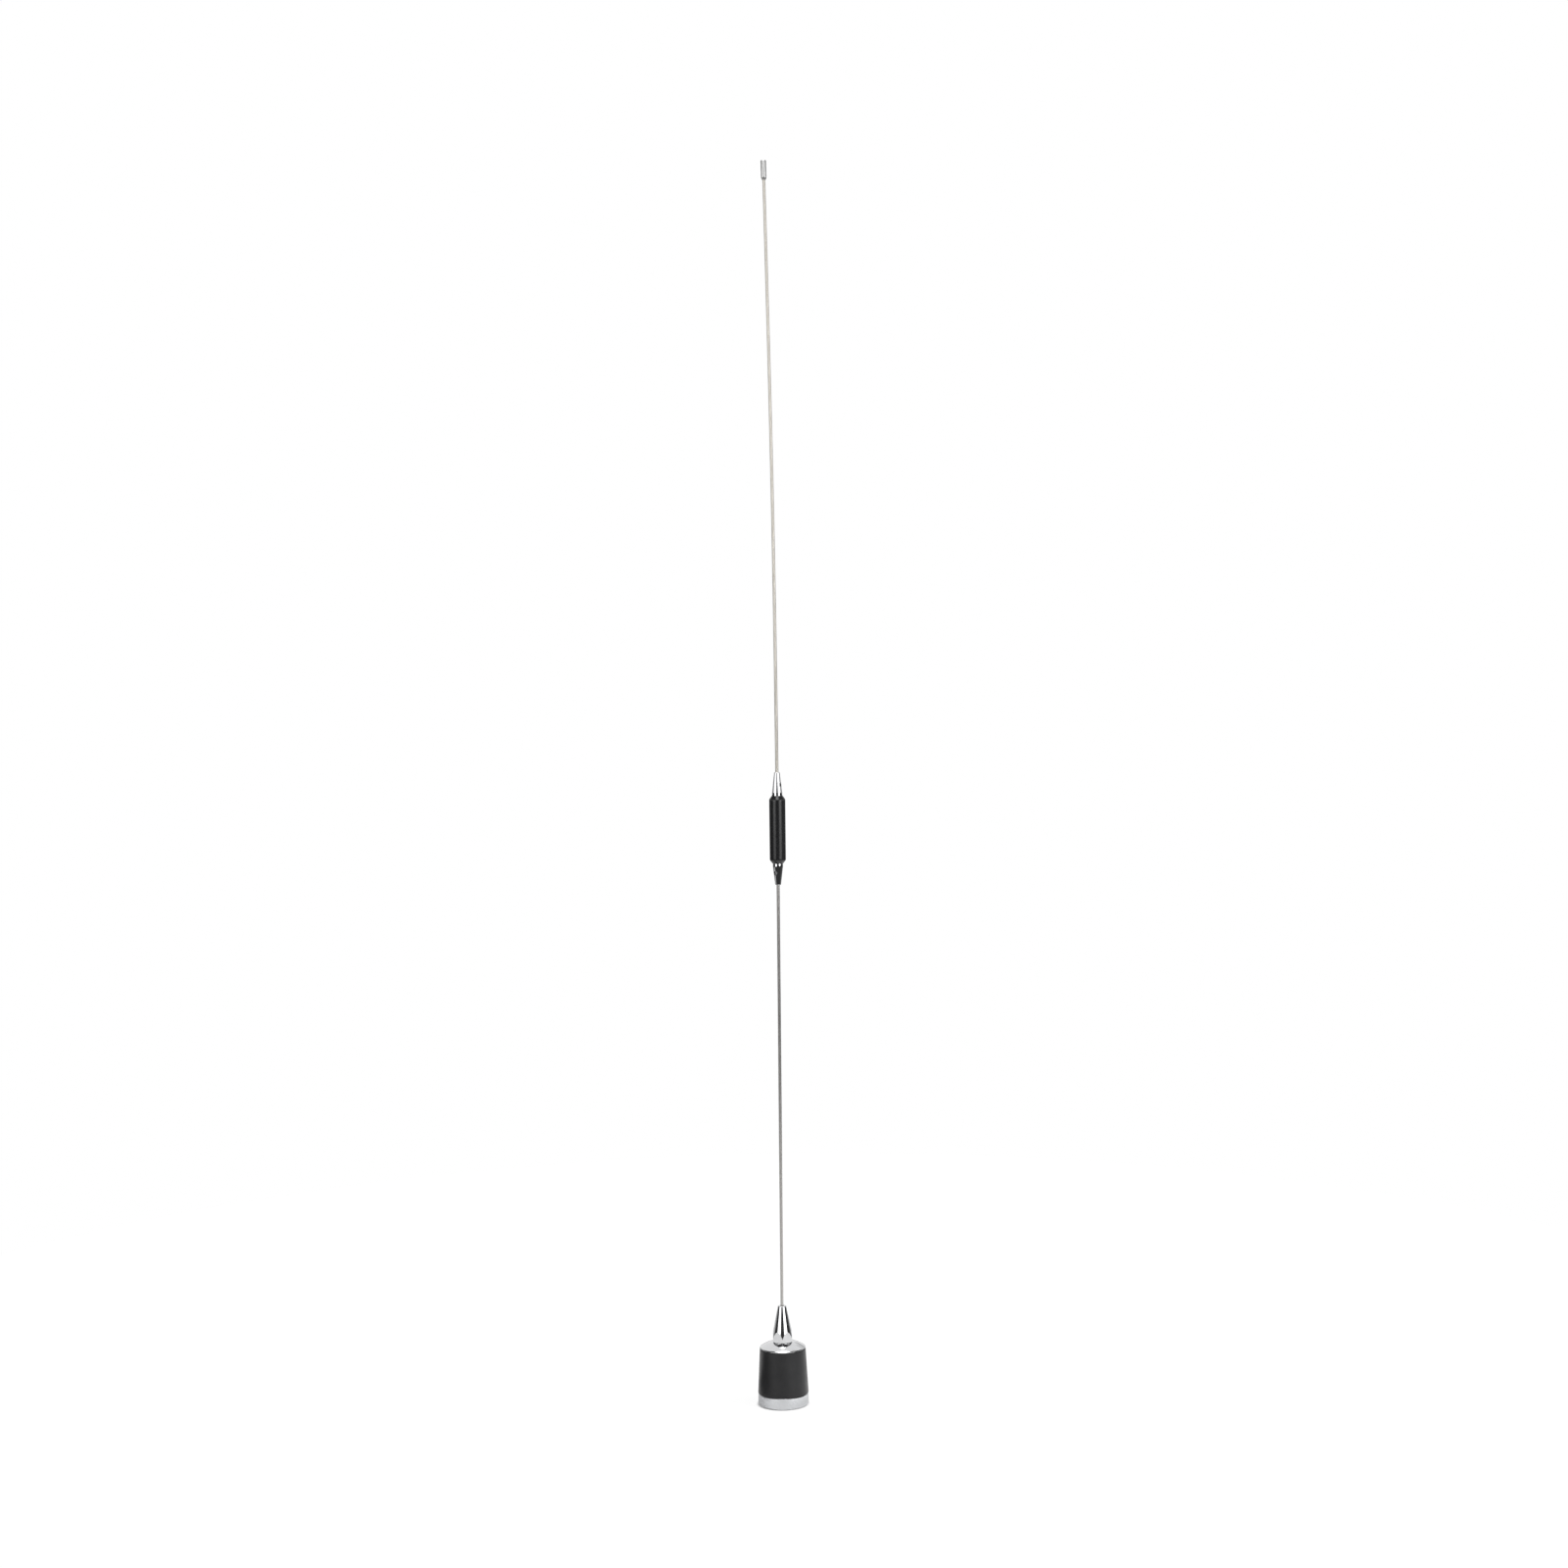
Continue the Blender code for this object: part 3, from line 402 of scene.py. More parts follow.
def new_group(name: str, inputs: dict[str, str], outputs: dict[str, str]) -> tuple[Tree, bpy.types.Node, bpy.types.Node]:
    """Starts a shader node group.

    Args:
        name: The group's name.
        inputs: Each input's name and kind, Float or Vector.
        outputs: Each output's name and kind.

    Returns:
        The group's tree, its input node and its output node.
    """
    group = bpy.data.node_groups.new(name, "ShaderNodeTree")
    for side, sockets in (("INPUT", inputs), ("OUTPUT", outputs)):
        for label, kind in sockets.items():
            group.interface.new_socket(name=label, in_out=side, socket_type="NodeSocket" + kind)
    return Tree(group), group.nodes.new("NodeGroupInput"), group.nodes.new("NodeGroupOutput")


def build_turning_marks() -> bpy.types.NodeTree:
    """Fine rings left by a lathe: they vary quickly along a piece and slowly round it."""
    tree, given, result = new_group(
        "turning_marks",
        {"Place": "Vector", "Rings": "Float", "Drift": "Float"},
        {"Height": "Float", "Mask": "Float"},
    )
    parts = tree.add("SeparateXYZ", {0: given.outputs["Place"]})
    flat = tree.add("CombineXYZ", {"X": parts.outputs["X"], "Y": parts.outputs["Y"]}).outputs[0]
    reach = tree.add("VectorMath", {0: flat}, operation="LENGTH").outputs["Value"]
    way = tree.add("VectorMath", {0: flat}, operation="NORMALIZE").outputs[0]
    drifting = tree.add("VectorMath", {0: way, "Scale": given.outputs["Drift"]}, operation="SCALE").outputs[0]
    along = tree.math("MULTIPLY", tree.math("ADD", reach, parts.outputs["Z"]), given.outputs["Rings"])
    lift = tree.add("CombineXYZ", {"Z": along}).outputs[0]
    place = tree.add("VectorMath", {0: drifting, 1: lift}, operation="ADD").outputs[0]
    height = tree.noise(place, 1.0, 4.0, 0.6)
    tree.tree.links.new(height, result.inputs["Height"])
    tree.tree.links.new(tree.spread(height, 0.35, 0.65, 0.0, 1.0), result.inputs["Mask"])
    return tree.tree


def build_drawn_grain() -> bpy.types.NodeTree:
    """Fine lines left along a rod when it is drawn."""
    tree, given, result = new_group(
        "drawn_grain", {"Place": "Vector", "Lines": "Float", "Length": "Float"}, {"Height": "Float", "Mask": "Float"}
    )
    across = given.outputs["Lines"]
    stretch = tree.add("CombineXYZ", {"X": across, "Y": across, "Z": given.outputs["Length"]}).outputs[0]
    place = tree.add("VectorMath", {0: given.outputs["Place"], 1: stretch}, operation="MULTIPLY").outputs[0]
    height = tree.noise(place, 1.0, 5.0, 0.65)
    tree.tree.links.new(height, result.inputs["Height"])
    tree.tree.links.new(tree.spread(height, 0.35, 0.65, 0.0, 1.0), result.inputs["Mask"])
    return tree.tree


def build_moulded_grain() -> bpy.types.NodeTree:
    """The fine pebbling of moulded plastic, over a faint waviness from its flow."""
    tree, given, result = new_group(
        "moulded_grain", {"Place": "Vector", "Grain": "Float"}, {"Height": "Float", "Mask": "Float"}
    )
    fine = tree.noise(given.outputs["Place"], given.outputs["Grain"], 2.0, 0.5)
    coarse = tree.noise(given.outputs["Place"], tree.math("MULTIPLY", given.outputs["Grain"], 0.06), 2.0, 0.5)
    height = tree.math("MULTIPLY_ADD", coarse, 2.0, fine)
    tree.tree.links.new(height, result.inputs["Height"])
    tree.tree.links.new(tree.spread(coarse, 0.3, 0.7, 0.0, 1.0), result.inputs["Mask"])
    return tree.tree


def build_handling_marks() -> bpy.types.NodeTree:
    """Faint smudges with finer wipe lines in them, as on a part that has been handled."""
    tree, given, result = new_group(
        "handling_marks", {"Place": "Vector", "Size": "Float"}, {"Mask": "Float", "Lines": "Float"}
    )
    smudge = tree.noise(given.outputs["Place"], given.outputs["Size"], 4.0, 0.6)
    stretched = tree.add("Mapping", {"Vector": given.outputs["Place"], "Rotation": (0.5, 0.3, 0.9), "Scale": (1.0, 14.0, 5.0)})
    wipe = tree.noise(stretched.outputs[0], tree.math("MULTIPLY", given.outputs["Size"], 3.0), 3.0, 0.6)
    line_mask = tree.math("SUBTRACT", 1.0, tree.math("ABSOLUTE", tree.math("SUBTRACT", wipe, 0.5)))
    tree.tree.links.new(tree.spread(smudge, 0.48, 0.72, 0.0, 1.0), result.inputs["Mask"])
    tree.tree.links.new(tree.spread(line_mask, 0.985, 1.0, 0.0, 1.0), result.inputs["Lines"])
    return tree.tree


@dataclass
class Effects:
    """The shared node groups, built once."""

    turning: bpy.types.NodeTree
    drawing: bpy.types.NodeTree
    moulding: bpy.types.NodeTree
    handling: bpy.types.NodeTree

    @classmethod
    def build(cls) -> "Effects":
        """Builds every group."""
        return cls(build_turning_marks(), build_drawn_grain(), build_moulded_grain(), build_handling_marks())


# Finishes


@dataclass(frozen=True)
class Finish:
    """What every finish has: a name, a colour and the range of its gloss."""

    name: str
    colour: Colour
    rough: tuple[float, float]
    metal: float = 1.0
    bump: float = 0.1
    bump_depth: float = 0.01 * MM
    centre: tuple[float, float, float] = (0.0, 0.0, 0.0)

    def start(self) -> tuple[bpy.types.Material, Tree, bpy.types.Node, bpy.types.NodeSocket]:
        """Starts the material.

        Returns:
            The material, its tree, its shader and the place where patterns are read.
        """
        material = bpy.data.materials.new(self.name)
        material.use_nodes = True
        material.diffuse_color = (*self.colour, 1.0)
        tree = Tree(material.node_tree)
        shader = material.node_tree.nodes["Principled BSDF"]
        shader.inputs["Metallic"].default_value = self.metal
        here = tree.add("TexCoord").outputs["Object"]
        place = tree.add("Mapping", {"Vector": here, "Location": tuple(-c for c in self.centre)})
        return material, tree, shader, place.outputs[0]

    def group(self, tree: Tree, group: bpy.types.NodeTree, **inputs) -> bpy.types.Node:
        """Places a shared effect in the material.

        Args:
            tree: The material's tree.
            group: The effect.
            **inputs: Values or sockets for the effect's inputs.

        Returns:
            The group's node.
        """
        node = tree.tree.nodes.new("ShaderNodeGroup")
        node.node_tree = group
        for name, value in inputs.items():
            if isinstance(value, bpy.types.NodeSocket):
                tree.tree.links.new(value, node.inputs[name])
            else:
                node.inputs[name].default_value = value
        return node

    def tint(self, tree: Tree, shader: bpy.types.Node, mask: bpy.types.NodeSocket, share: float) -> None:
        """Varies the colour a little over the surface.

        Args:
            tree: The material's tree.
            shader: The shader that takes the colour.
            mask: Where the surface is darker.
            share: How bright the darker places are.
        """
        darker = tuple(c * share for c in self.colour)
        mix = tree.add("MixRGB", {0: mask, 1: (*self.colour, 1.0), 2: (*darker, 1.0)})
        tree.tree.links.new(mix.outputs[0], shader.inputs["Base Color"])

    def emboss(self, tree: Tree, shader: bpy.types.Node, height: bpy.types.NodeSocket) -> None:
        """Raises the surface by a height.

        Args:
            tree: The material's tree.
            shader: The shader that takes the bump.
            height: The height, from 0 to 1.
        """
        bump = tree.add("Bump", {"Strength": self.bump, "Distance": self.bump_depth, "Height": height})
        tree.tree.links.new(bump.outputs[0], shader.inputs["Normal"])


@dataclass(frozen=True)
class TurnedMetal(Finish):
    """Metal turned on a lathe, plain or plated."""

    rings: float = 4000.0
    drift: float = 2.0
    shade: float = 0.9

    def material(self, effects: Effects) -> bpy.types.Material:
        """Builds the material."""
        material, tree, shader, place = self.start()
        marks = self.group(tree, effects.turning, Place=place, Rings=self.rings, Drift=self.drift)
        smudges = self.group(tree, effects.handling, Place=place, Size=90.0)
        blend = tree.math("MAXIMUM", smudges.outputs["Mask"], tree.math("MULTIPLY", marks.outputs["Mask"], 0.6))
        rough = tree.spread(blend, 0.0, 1.0, *self.rough)
        tree.tree.links.new(rough, shader.inputs["Roughness"])
        self.tint(tree, shader, marks.outputs["Mask"], self.shade)
        self.emboss(tree, shader, marks.outputs["Height"])
        return material


@dataclass(frozen=True)
class DrawnMetal(Finish):
    """Rod with the lines of its drawing along it."""

    lines: float = 5000.0
    length: float = 60.0
    shade: float = 0.88

    def material(self, effects: Effects) -> bpy.types.Material:
        """Builds the material."""
        material, tree, shader, place = self.start()
        marks = self.group(tree, effects.drawing, Place=place, Lines=self.lines, Length=self.length)
        smudges = self.group(tree, effects.handling, Place=place, Size=60.0)
        blend = tree.math("ADD", smudges.outputs["Mask"], marks.outputs["Mask"])
        rough = tree.spread(blend, 0.0, 2.0, *self.rough)
        tree.tree.links.new(rough, shader.inputs["Roughness"])
        self.tint(tree, shader, marks.outputs["Mask"], self.shade)
        self.emboss(tree, shader, marks.outputs["Height"])
        return material


@dataclass(frozen=True)
class PlatedMetal(Finish):
    """Bright plate over a polished shape: nearly a mirror, with a trace of ripple and wiping."""

    ripple: float = 350.0

    def material(self, effects: Effects) -> bpy.types.Material:
        """Builds the material."""
        material, tree, shader, place = self.start()
        smudges = self.group(tree, effects.handling, Place=place, Size=110.0)
        blend = tree.math("MULTIPLY_ADD", smudges.outputs["Lines"], 0.4, smudges.outputs["Mask"])
        rough = tree.spread(blend, 0.0, 1.4, *self.rough)
        tree.tree.links.new(rough, shader.inputs["Roughness"])
        self.tint(tree, shader, smudges.outputs["Mask"], 0.97)
        self.emboss(tree, shader, tree.noise(place, self.ripple, 1.0, 0.4))
        return material


@dataclass(frozen=True)
class Moulded(Finish):
    """Moulded plastic, rubber or insulating board."""

    grain: float = 2600.0
    shade: float = 0.8
    shine: float = 0.5

    def material(self, effects: Effects) -> bpy.types.Material:
        """Builds the material."""
        material, tree, shader, place = self.start()
        shader.inputs["Specular IOR Level"].default_value = self.shine
        grain = self.group(tree, effects.moulding, Place=place, Grain=self.grain)
        smudges = self.group(tree, effects.handling, Place=place, Size=70.0)
        blend = tree.math("MULTIPLY_ADD", smudges.outputs["Mask"], 0.5, tree.math("MULTIPLY", grain.outputs["Mask"], 0.5))
        rough = tree.spread(blend, 0.0, 1.0, *self.rough)
        tree.tree.links.new(rough, shader.inputs["Roughness"])
        self.tint(tree, shader, grain.outputs["Mask"], self.shade)
        self.emboss(tree, shader, grain.outputs["Height"])
        return material


@dataclass
class Finishes:
    """Every material of the antenna."""

    chrome: bpy.types.Material
    cap_plate: bpy.types.Material
    ring_plate: bpy.types.Material
    lower_rod: bpy.types.Material
    rod: bpy.types.Material
    tip: bpy.types.Material
    screw: bpy.types.Material
    brass: bpy.types.Material
    copper: bpy.types.Material
    housing: bpy.types.Material
    sleeve: bpy.types.Material
    insulator: bpy.types.Material
    rubber: bpy.types.Material

    @classmethod
    def build(cls, effects: Effects) -> "Finishes":
        """Builds every material from the shared effects."""
        chrome = PlatedMetal("chrome", (0.68, 0.685, 0.695), (0.03, 0.09), bump=0.04)
        cap = PlatedMetal("cap_plate", (0.65, 0.655, 0.665), (0.1, 0.2), bump=0.05)
        ring = TurnedMetal("ring_plate", (0.635, 0.645, 0.66), (0.26, 0.36), bump=0.04, rings=5200.0, shade=0.95)
        # A darker copy of the upper rod's steel: painted shade on the lower whip, which is the same stainless.
        lower = DrawnMetal("drawn_rod_painted_darker", (0.485, 0.472, 0.455), (0.28, 0.4), bump=0.08, shade=0.93)
        rod = DrawnMetal("drawn_rod", (0.662, 0.632, 0.575), (0.32, 0.44), bump=0.08, shade=0.93)
        tip = DrawnMetal("tip_steel", (0.64, 0.64, 0.635), (0.3, 0.4), bump=0.06, shade=0.93)
        screw = TurnedMetal("screw_steel", (0.34, 0.34, 0.345), (0.26, 0.4), bump=0.1, rings=6000.0)
        brass = TurnedMetal("turned_brass", (0.72, 0.5, 0.2), (0.16, 0.3), bump=0.08, rings=5500.0)
        copper = DrawnMetal("enamelled_copper", (0.68, 0.3, 0.13), (0.14, 0.26), bump=0.04, lines=2500.0, length=900.0)
        housing = Moulded("housing_plastic", (0.017, 0.017, 0.018), (0.28, 0.36), metal=0.0, bump=0.1, shine=0.27)
        sleeve = Moulded("sleeve_plastic", (0.014, 0.014, 0.015), (0.18, 0.24), metal=0.0, bump=0.05)
        board = Moulded("insulating_board", (0.62, 0.56, 0.42), (0.45, 0.6), metal=0.0, bump=0.1, shade=0.9)
        rubber = Moulded("gasket_rubber", (0.018, 0.018, 0.018), (0.65, 0.85), metal=0.0, bump=0.3, grain=3600.0)
        kinds = (chrome, cap, ring, lower, rod, tip, screw, brass, copper, housing, sleeve, board, rubber)
        return cls(*(kind.material(effects) for kind in kinds))


# The studio


@dataclass
class Studio:
    """Camera, floor, surround and lamps."""

    camera_place: tuple[float, float, float] = (0.0076, -2.2, 0.665)
    camera_dip: float = 5.403
    camera_roll: float = -0.922
    camera_lens: float = 70.412
    table_radius: float = 0.85
    table_white: float = 0.8
    table_glow: float = 1.07
    shade_share: float = 0.16
    foot_share: float = 0.85
    hole_radius: float = 16.9 * MM
    foot_radii: tuple[float, float] = (18.5 * MM, 20.2 * MM)
    floor_radius: float = 9.0
    floor_grey: float = 0.05
    mat_lift: float = 0.0004
    ambient: float = 0.45

    def build(self) -> None:
        """Builds all of it."""
        self.set_view()
        self.light_world()
        self.lay_floor()
        self.hang_cloths()
        self.place_lamps()

    def set_view(self) -> None:
        """Puts the camera where the photograph was taken from."""
        data = bpy.data.cameras.new("camera")
        data.lens = self.camera_lens
        camera = bpy.data.objects.new("camera", data)
        bpy.context.scene.collection.objects.link(camera)
        camera.location = self.camera_place
        camera.rotation_mode = "ZYX"
        camera.rotation_euler = (math.radians(90 - self.camera_dip), 0, math.radians(self.camera_roll))
        bpy.context.scene.camera = camera
        bpy.context.scene.view_settings.view_transform = "Standard"

    @staticmethod
    def background_rays(tree: Tree) -> bpy.types.NodeSocket:
        """One where a ray shows the background: to the camera, in a mirror or through glass.

        Args:
            tree: The tree that the nodes go in.

        Returns:
            The output that is 1 for such rays.
        """
        path = tree.add("LightPath").outputs
        seen = tree.math("MAXIMUM", path["Is Camera Ray"], path["Is Glossy Ray"])
        return tree.math("MAXIMUM", seen, path["Is Transmission Ray"])

    def light_world(self) -> None:
        """A white world to look at, which lights the object plainly."""
        world = bpy.data.worlds.new("studio")
        bpy.context.scene.world = world
        world.use_nodes = True
        world.node_tree.nodes.clear()
        tree = Tree(world.node_tree)
        ambient = tree.add("Background", {"Color": (1, 1, 1, 1), "Strength": self.ambient})
        white = tree.add("Background", {"Color": (1, 1, 1, 1), "Strength": 1.0})
        factor = self.background_rays(tree)
        mix = tree.add("MixShader", {0: factor, 1: ambient.outputs[0], 2: white.outputs[0]})
        tree.add("OutputWorld", {"Surface": mix.outputs[0]})

    def lay_floor(self) -> None:
        """A white table top that keeps the object's shadow, and a dark floor round it."""
        material, tree, lit = self.lay_ring("table_top", (self.hole_radius, self.table_radius), self.table_white)
        place = tree.add("TexCoord").outputs["Object"]
        reach = tree.add("VectorMath", {0: place}, operation="LENGTH").outputs["Value"]
        share = tree.spread(reach, *self.foot_radii, 1 - self.foot_share, 1 - self.shade_share)
        self.whiten(tree, material, lit, self.table_glow, share)

        material, tree, lit = self.lay_ring("floor", (self.table_radius, self.floor_radius), self.floor_grey)
        self.whiten(tree, material, lit, 1.0, 1.0)

    @staticmethod
    def lay_ring(name: str, radii: tuple[float, float], grey: float) -> tuple[bpy.types.Material, Tree, bpy.types.Node]:
        """Lays one ring of the table or floor.

        Args:
            name: The ring's name.
            radii: Its inner and outer radius.
            grey: How light it is in mirrors, and to what it lights.

        Returns:
            Its material, the material's tree and its shader.
        """
        ring = Studio.round_sheet(name, *radii)
        material, tree, shader = Studio.matt(name, grey)
        ring.data.materials.append(material)
        return material, tree, shader

    @staticmethod
    def whiten(tree: Tree, material: bpy.types.Material, shader: bpy.types.Node, glow: float, share) -> None:
        """Shows a floor white to the camera, over a share of its own shading.

        Args:
            tree: The material's tree.
            material: The floor's material.
            shader: The shader of its upper side.
            glow: How bright the white is, where 1 is white.
            share: How much of the white the camera sees, as a number or a socket.
        """
        seen = tree.add("LightPath").outputs["Is Camera Ray"]
        white = tree.add("Emission", {"Color": (1, 1, 1, 1), "Strength": glow})
        factor = tree.math("MULTIPLY", seen, share)
        lit = tree.add("MixShader", {0: factor, 1: shader.outputs[0], 2: white.outputs[0]})
        Studio.clear_from_below(tree, material, lit)

    @staticmethod
    def round_sheet(name: str, inner: float, outer: float) -> bpy.types.Object:
        """Lays a flat disc with a round hole.

        Args:
            name: The new object's name.
            inner: The hole's radius.
            outer: The disc's radius.

        Returns:
            The new object, with its face up.
        """
        bpy.ops.object.select_all(action="DESELECT")
        bpy.ops.mesh.primitive_circle_add(vertices=96, radius=outer, fill_type="NOTHING")
        sheet = bpy.context.object
        sheet.name = name
        with editing(sheet):
            bpy.ops.mesh.select_all(action="SELECT")
            bpy.ops.mesh.extrude_edges_move()
            share = inner / outer
            bpy.ops.transform.resize(value=(share, share, 1), center_override=(0, 0, 0))
        if sheet.data.polygons[0].normal.z < 0:
            with editing(sheet):
                bpy.ops.mesh.select_all(action="SELECT")
                bpy.ops.mesh.flip_normals()
        return sheet

    @staticmethod
    def sheet(name: str, box: tuple[float, float, float, float], height: float) -> bpy.types.Object:
        """Lays a flat rectangle.

        Args:
            name: The new object's name.
            box: Its least and greatest X, then its least and greatest Y.
            height: How high it lies.

        Returns:
            The new object.
        """
        left, right, front, back = box
        bpy.ops.object.select_all(action="DESELECT")
        middle = ((left + right) / 2, (front + back) / 2, height)
        bpy.ops.mesh.primitive_plane_add(size=1.0, location=middle)
        sheet = bpy.context.object
        sheet.name = name
        sheet.scale = (right - left, back - front, 1.0)
        bpy.ops.object.transform_apply(location=True, rotation=True, scale=True)
        return sheet

    @staticmethod
    def matt(name: str, grey: float) -> tuple[bpy.types.Material, Tree, bpy.types.Node]:
        """Starts a matt grey material.

        Args:
            name: The material's name.
            grey: How light it is.

        Returns:
            The material, its tree and its shader.
        """
        material = bpy.data.materials.new(name)
        material.use_nodes = True
        shader = material.node_tree.nodes["Principled BSDF"]
        shader.inputs["Base Color"].default_value = (grey, grey, grey, 1)
        shader.inputs["Roughness"].default_value = 1.0
        shader.inputs["Specular IOR Level"].default_value = 0.0
        return material, Tree(material.node_tree), shader

    @staticmethod
    def clear_from_below(tree: Tree, material: bpy.types.Material, lit: bpy.types.Node) -> None:
        """Makes a floor clear to whoever looks up at it.

        Args:
            tree: The material's tree.
            material: The floor's material.
            lit: The shader of its upper side.
        """
        clear = tree.add("BsdfTransparent")
        back = tree.add("NewGeometry").outputs["Backfacing"]
        both = tree.add("MixShader", {0: back, 1: lit.outputs[0], 2: clear.outputs[0]})
        output = material.node_tree.nodes["Material Output"]
        tree.tree.links.new(both.outputs[0], output.inputs["Surface"])

    def hang_cloths(self) -> None:
        """Hangs glowing sheets round the set, which only its mirrors can see: painted reflections that light nothing
        and cast no shadow.
        """
        self.cloth("low_front", 3.4, (-102, 102), (-0.1, 0.42), 0.04)
        self.cloth("low_left", 3.4, (-135, -102), (-0.1, 0.42), 0.3)
        self.cloth("low_right", 3.4, (102, 135), (-0.1, 0.42), 0.3)
        self.cloth("front", 3.2, (-19, 19), (0.42, 0.95), 0.04)
        self.cloth("middle_left", 3.3, (-150, -96), (0.42, 0.8), 0.2)
        self.cloth("middle_right", 3.3, (96, 150), (0.42, 0.8), 0.2)
        self.cloth("high_left", 3.3, (-150, -80), (0.8, 1.5), 0.5)
        self.cloth("high_right", 3.3, (80, 168), (0.8, 1.5), 0.62)
        self.cloth("top_right", 3.3, (80, 160), (1.5, 2.4), 0.8)
        self.cloth("flag_left", 1.6, (-133, -32), (1.7, 4.4), 0.04)
        self.cloth("flag_right", 1.6, (32, 133), (1.7, 4.4), 0.04)
        self.cloth("flag_low_left", 1.6, (-133, -72), (1.18, 1.7), 0.04)
        self.cloth("flag_low_right", 1.6, (72, 133), (1.18, 1.7), 0.04)
        self.cloth("rim_left", 0.5, (-130, -72), (0.26, 0.4), 0.04)
        self.cloth("rim_right", 0.5, (72, 130), (0.26, 0.4), 0.04)
        self.cloth("rim_front", 0.5, (-72, 72), (0.18, 0.3), 0.04)
        # A dark sheet on the table left of the base, seen only in mirrors: painted shade in the housing's reflection.
        self.mat("painted_shade_sheet", (-0.25, -0.058, -0.06, 0.05), 0.04)
        # A sheet right of the base that glows brighter than white, seen only in mirrors: a painted reflection that
        # lightens the housing's right side.
        self.mat("painted_reflection_card", (0.04, 0.12, -0.3, 0.05), 1.25)
        self.mat("mat_left", (-3.4, -0.95, -0.5, 3.4), 0.5)
        self.mat("mat_right", (0.95, 3.4, 0.3, 3.4), 0.2)

    @staticmethod
    def cloth(name: str, radius: float, sides: tuple[float, float], heights: tuple[float, float], grey: float) -> None:
        """Hangs one glowing sheet, part of a drum round the set: a painted reflection that only mirrors see.

        Args:
            name: The cloth's name.
            radius: How far away it hangs.
            sides: Where it starts and ends, in degrees from the camera's side.
            heights: Its lower and upper edge.
            grey: How light its painted reflection is.
        """
        bpy.ops.object.select_all(action="DESELECT")
        bpy.ops.mesh.primitive_cylinder_add(
            vertices=360,
            radius=radius,
            depth=heights[1] - heights[0],
            end_fill_type="NOTHING",
            location=(0, 0, (heights[0] + heights[1]) / 2),
        )
        cloth = bpy.context.object
        cloth.name = name

        def outside(place: Vector) -> bool:
            """Whether a place is past the cloth's ends."""
            side = math.degrees(math.atan2(place.x, -place.y))
            return not sides[0] - 0.1 <= side <= sides[1] + 0.1

        with editing(cloth):
            select_vertices(cloth, outside)
            bpy.ops.mesh.delete(type="VERT")
        Studio.show_in_mirrors(cloth, grey)

    @staticmethod
    def mat(name: str, box: tuple[float, float, float, float], grey: float) -> None:
        """Lays a glowing sheet flat on the table or the floor: a painted reflection that only mirrors see.

        Args:
            name: The cloth's name.
            box: Its least and greatest X, then its least and greatest Y.
            grey: How light its painted reflection is.
        """
        Studio.show_in_mirrors(Studio.sheet(name, box, Studio.mat_lift), grey)

    @staticmethod
    def show_in_mirrors(cloth: bpy.types.Object, grey: float) -> None:
        """Gives a sheet its painted reflection: it glows at its grey, only mirrors see it, and it lights nothing and
        casts no shadow.

        Args:
            cloth: The cloth.
            grey: How light its painted reflection is.
        """
        material = bpy.data.materials.new(cloth.name)
        material.use_nodes = True
        material.node_tree.nodes.clear()
        tree = Tree(material.node_tree)
        shade = tree.add("Emission", {"Color": (1, 1, 1, 1), "Strength": grey})
        tree.add("OutputMaterial", {"Surface": shade.outputs[0]})
        cloth.data.materials.append(material)
        cloth.visible_camera = False
        cloth.visible_diffuse = False
        cloth.visible_shadow = False
        cloth.visible_transmission = False

    def place_lamps(self) -> None:
        """Two low wide lamps, one overhead, one high in front, and a soft one that mirrors miss."""
        self.lamp("lamp_left", (-2.017, -2.182, 0.46), (0, 0, 0.46), (1.845, 0.9), 1.6)
        self.lamp("lamp_right", (2.016, -2.181, 0.46), (0, 0, 0.46), (1.79, 0.9), 2.2)
        self.lamp("lamp_high", (0, -0.1, 2.4), (0, 0, 0), (1.5, 1.3), 1.8)
        self.lamp("lamp_front", (0, -0.85, 1.8), (0, 0, 0.45), (0.8, 0.7), 2.4)
        soft = self.lamp("lamp_side", (1.9, -0.5, 1.6), (0, 0, 0.3), (1.5, 1.5), 5.0)
        soft.visible_glossy = False

    @staticmethod
    def lamp(
        name: str,
        place: tuple[float, float, float],
        target: tuple[float, float, float],
        size: tuple[float, float],
        glow: float,
    ) -> bpy.types.Object:
        """Adds a soft lamp.

        Args:
            name: The lamp's name.
            place: Where it is.
            target: What it faces.
            size: Its width and height.
            glow: How bright its face is, where 1 is white.

        Returns:
            The lamp.
        """
        data = bpy.data.lights.new(name, "AREA")
        data.shape = "RECTANGLE"
        data.size, data.size_y = size
        data.energy = glow * WATTS_PER_GLOW * size[0] * size[1]
        lamp = bpy.data.objects.new(name, data)
        bpy.context.scene.collection.objects.link(lamp)
        lamp.location = place
        aim = Vector(target) - Vector(place)
        lamp.rotation_mode = "QUATERNION"
        lamp.rotation_quaternion = aim.to_track_quat("-Z", "Y")
        lamp.visible_camera = False
        return lamp


# The antenna


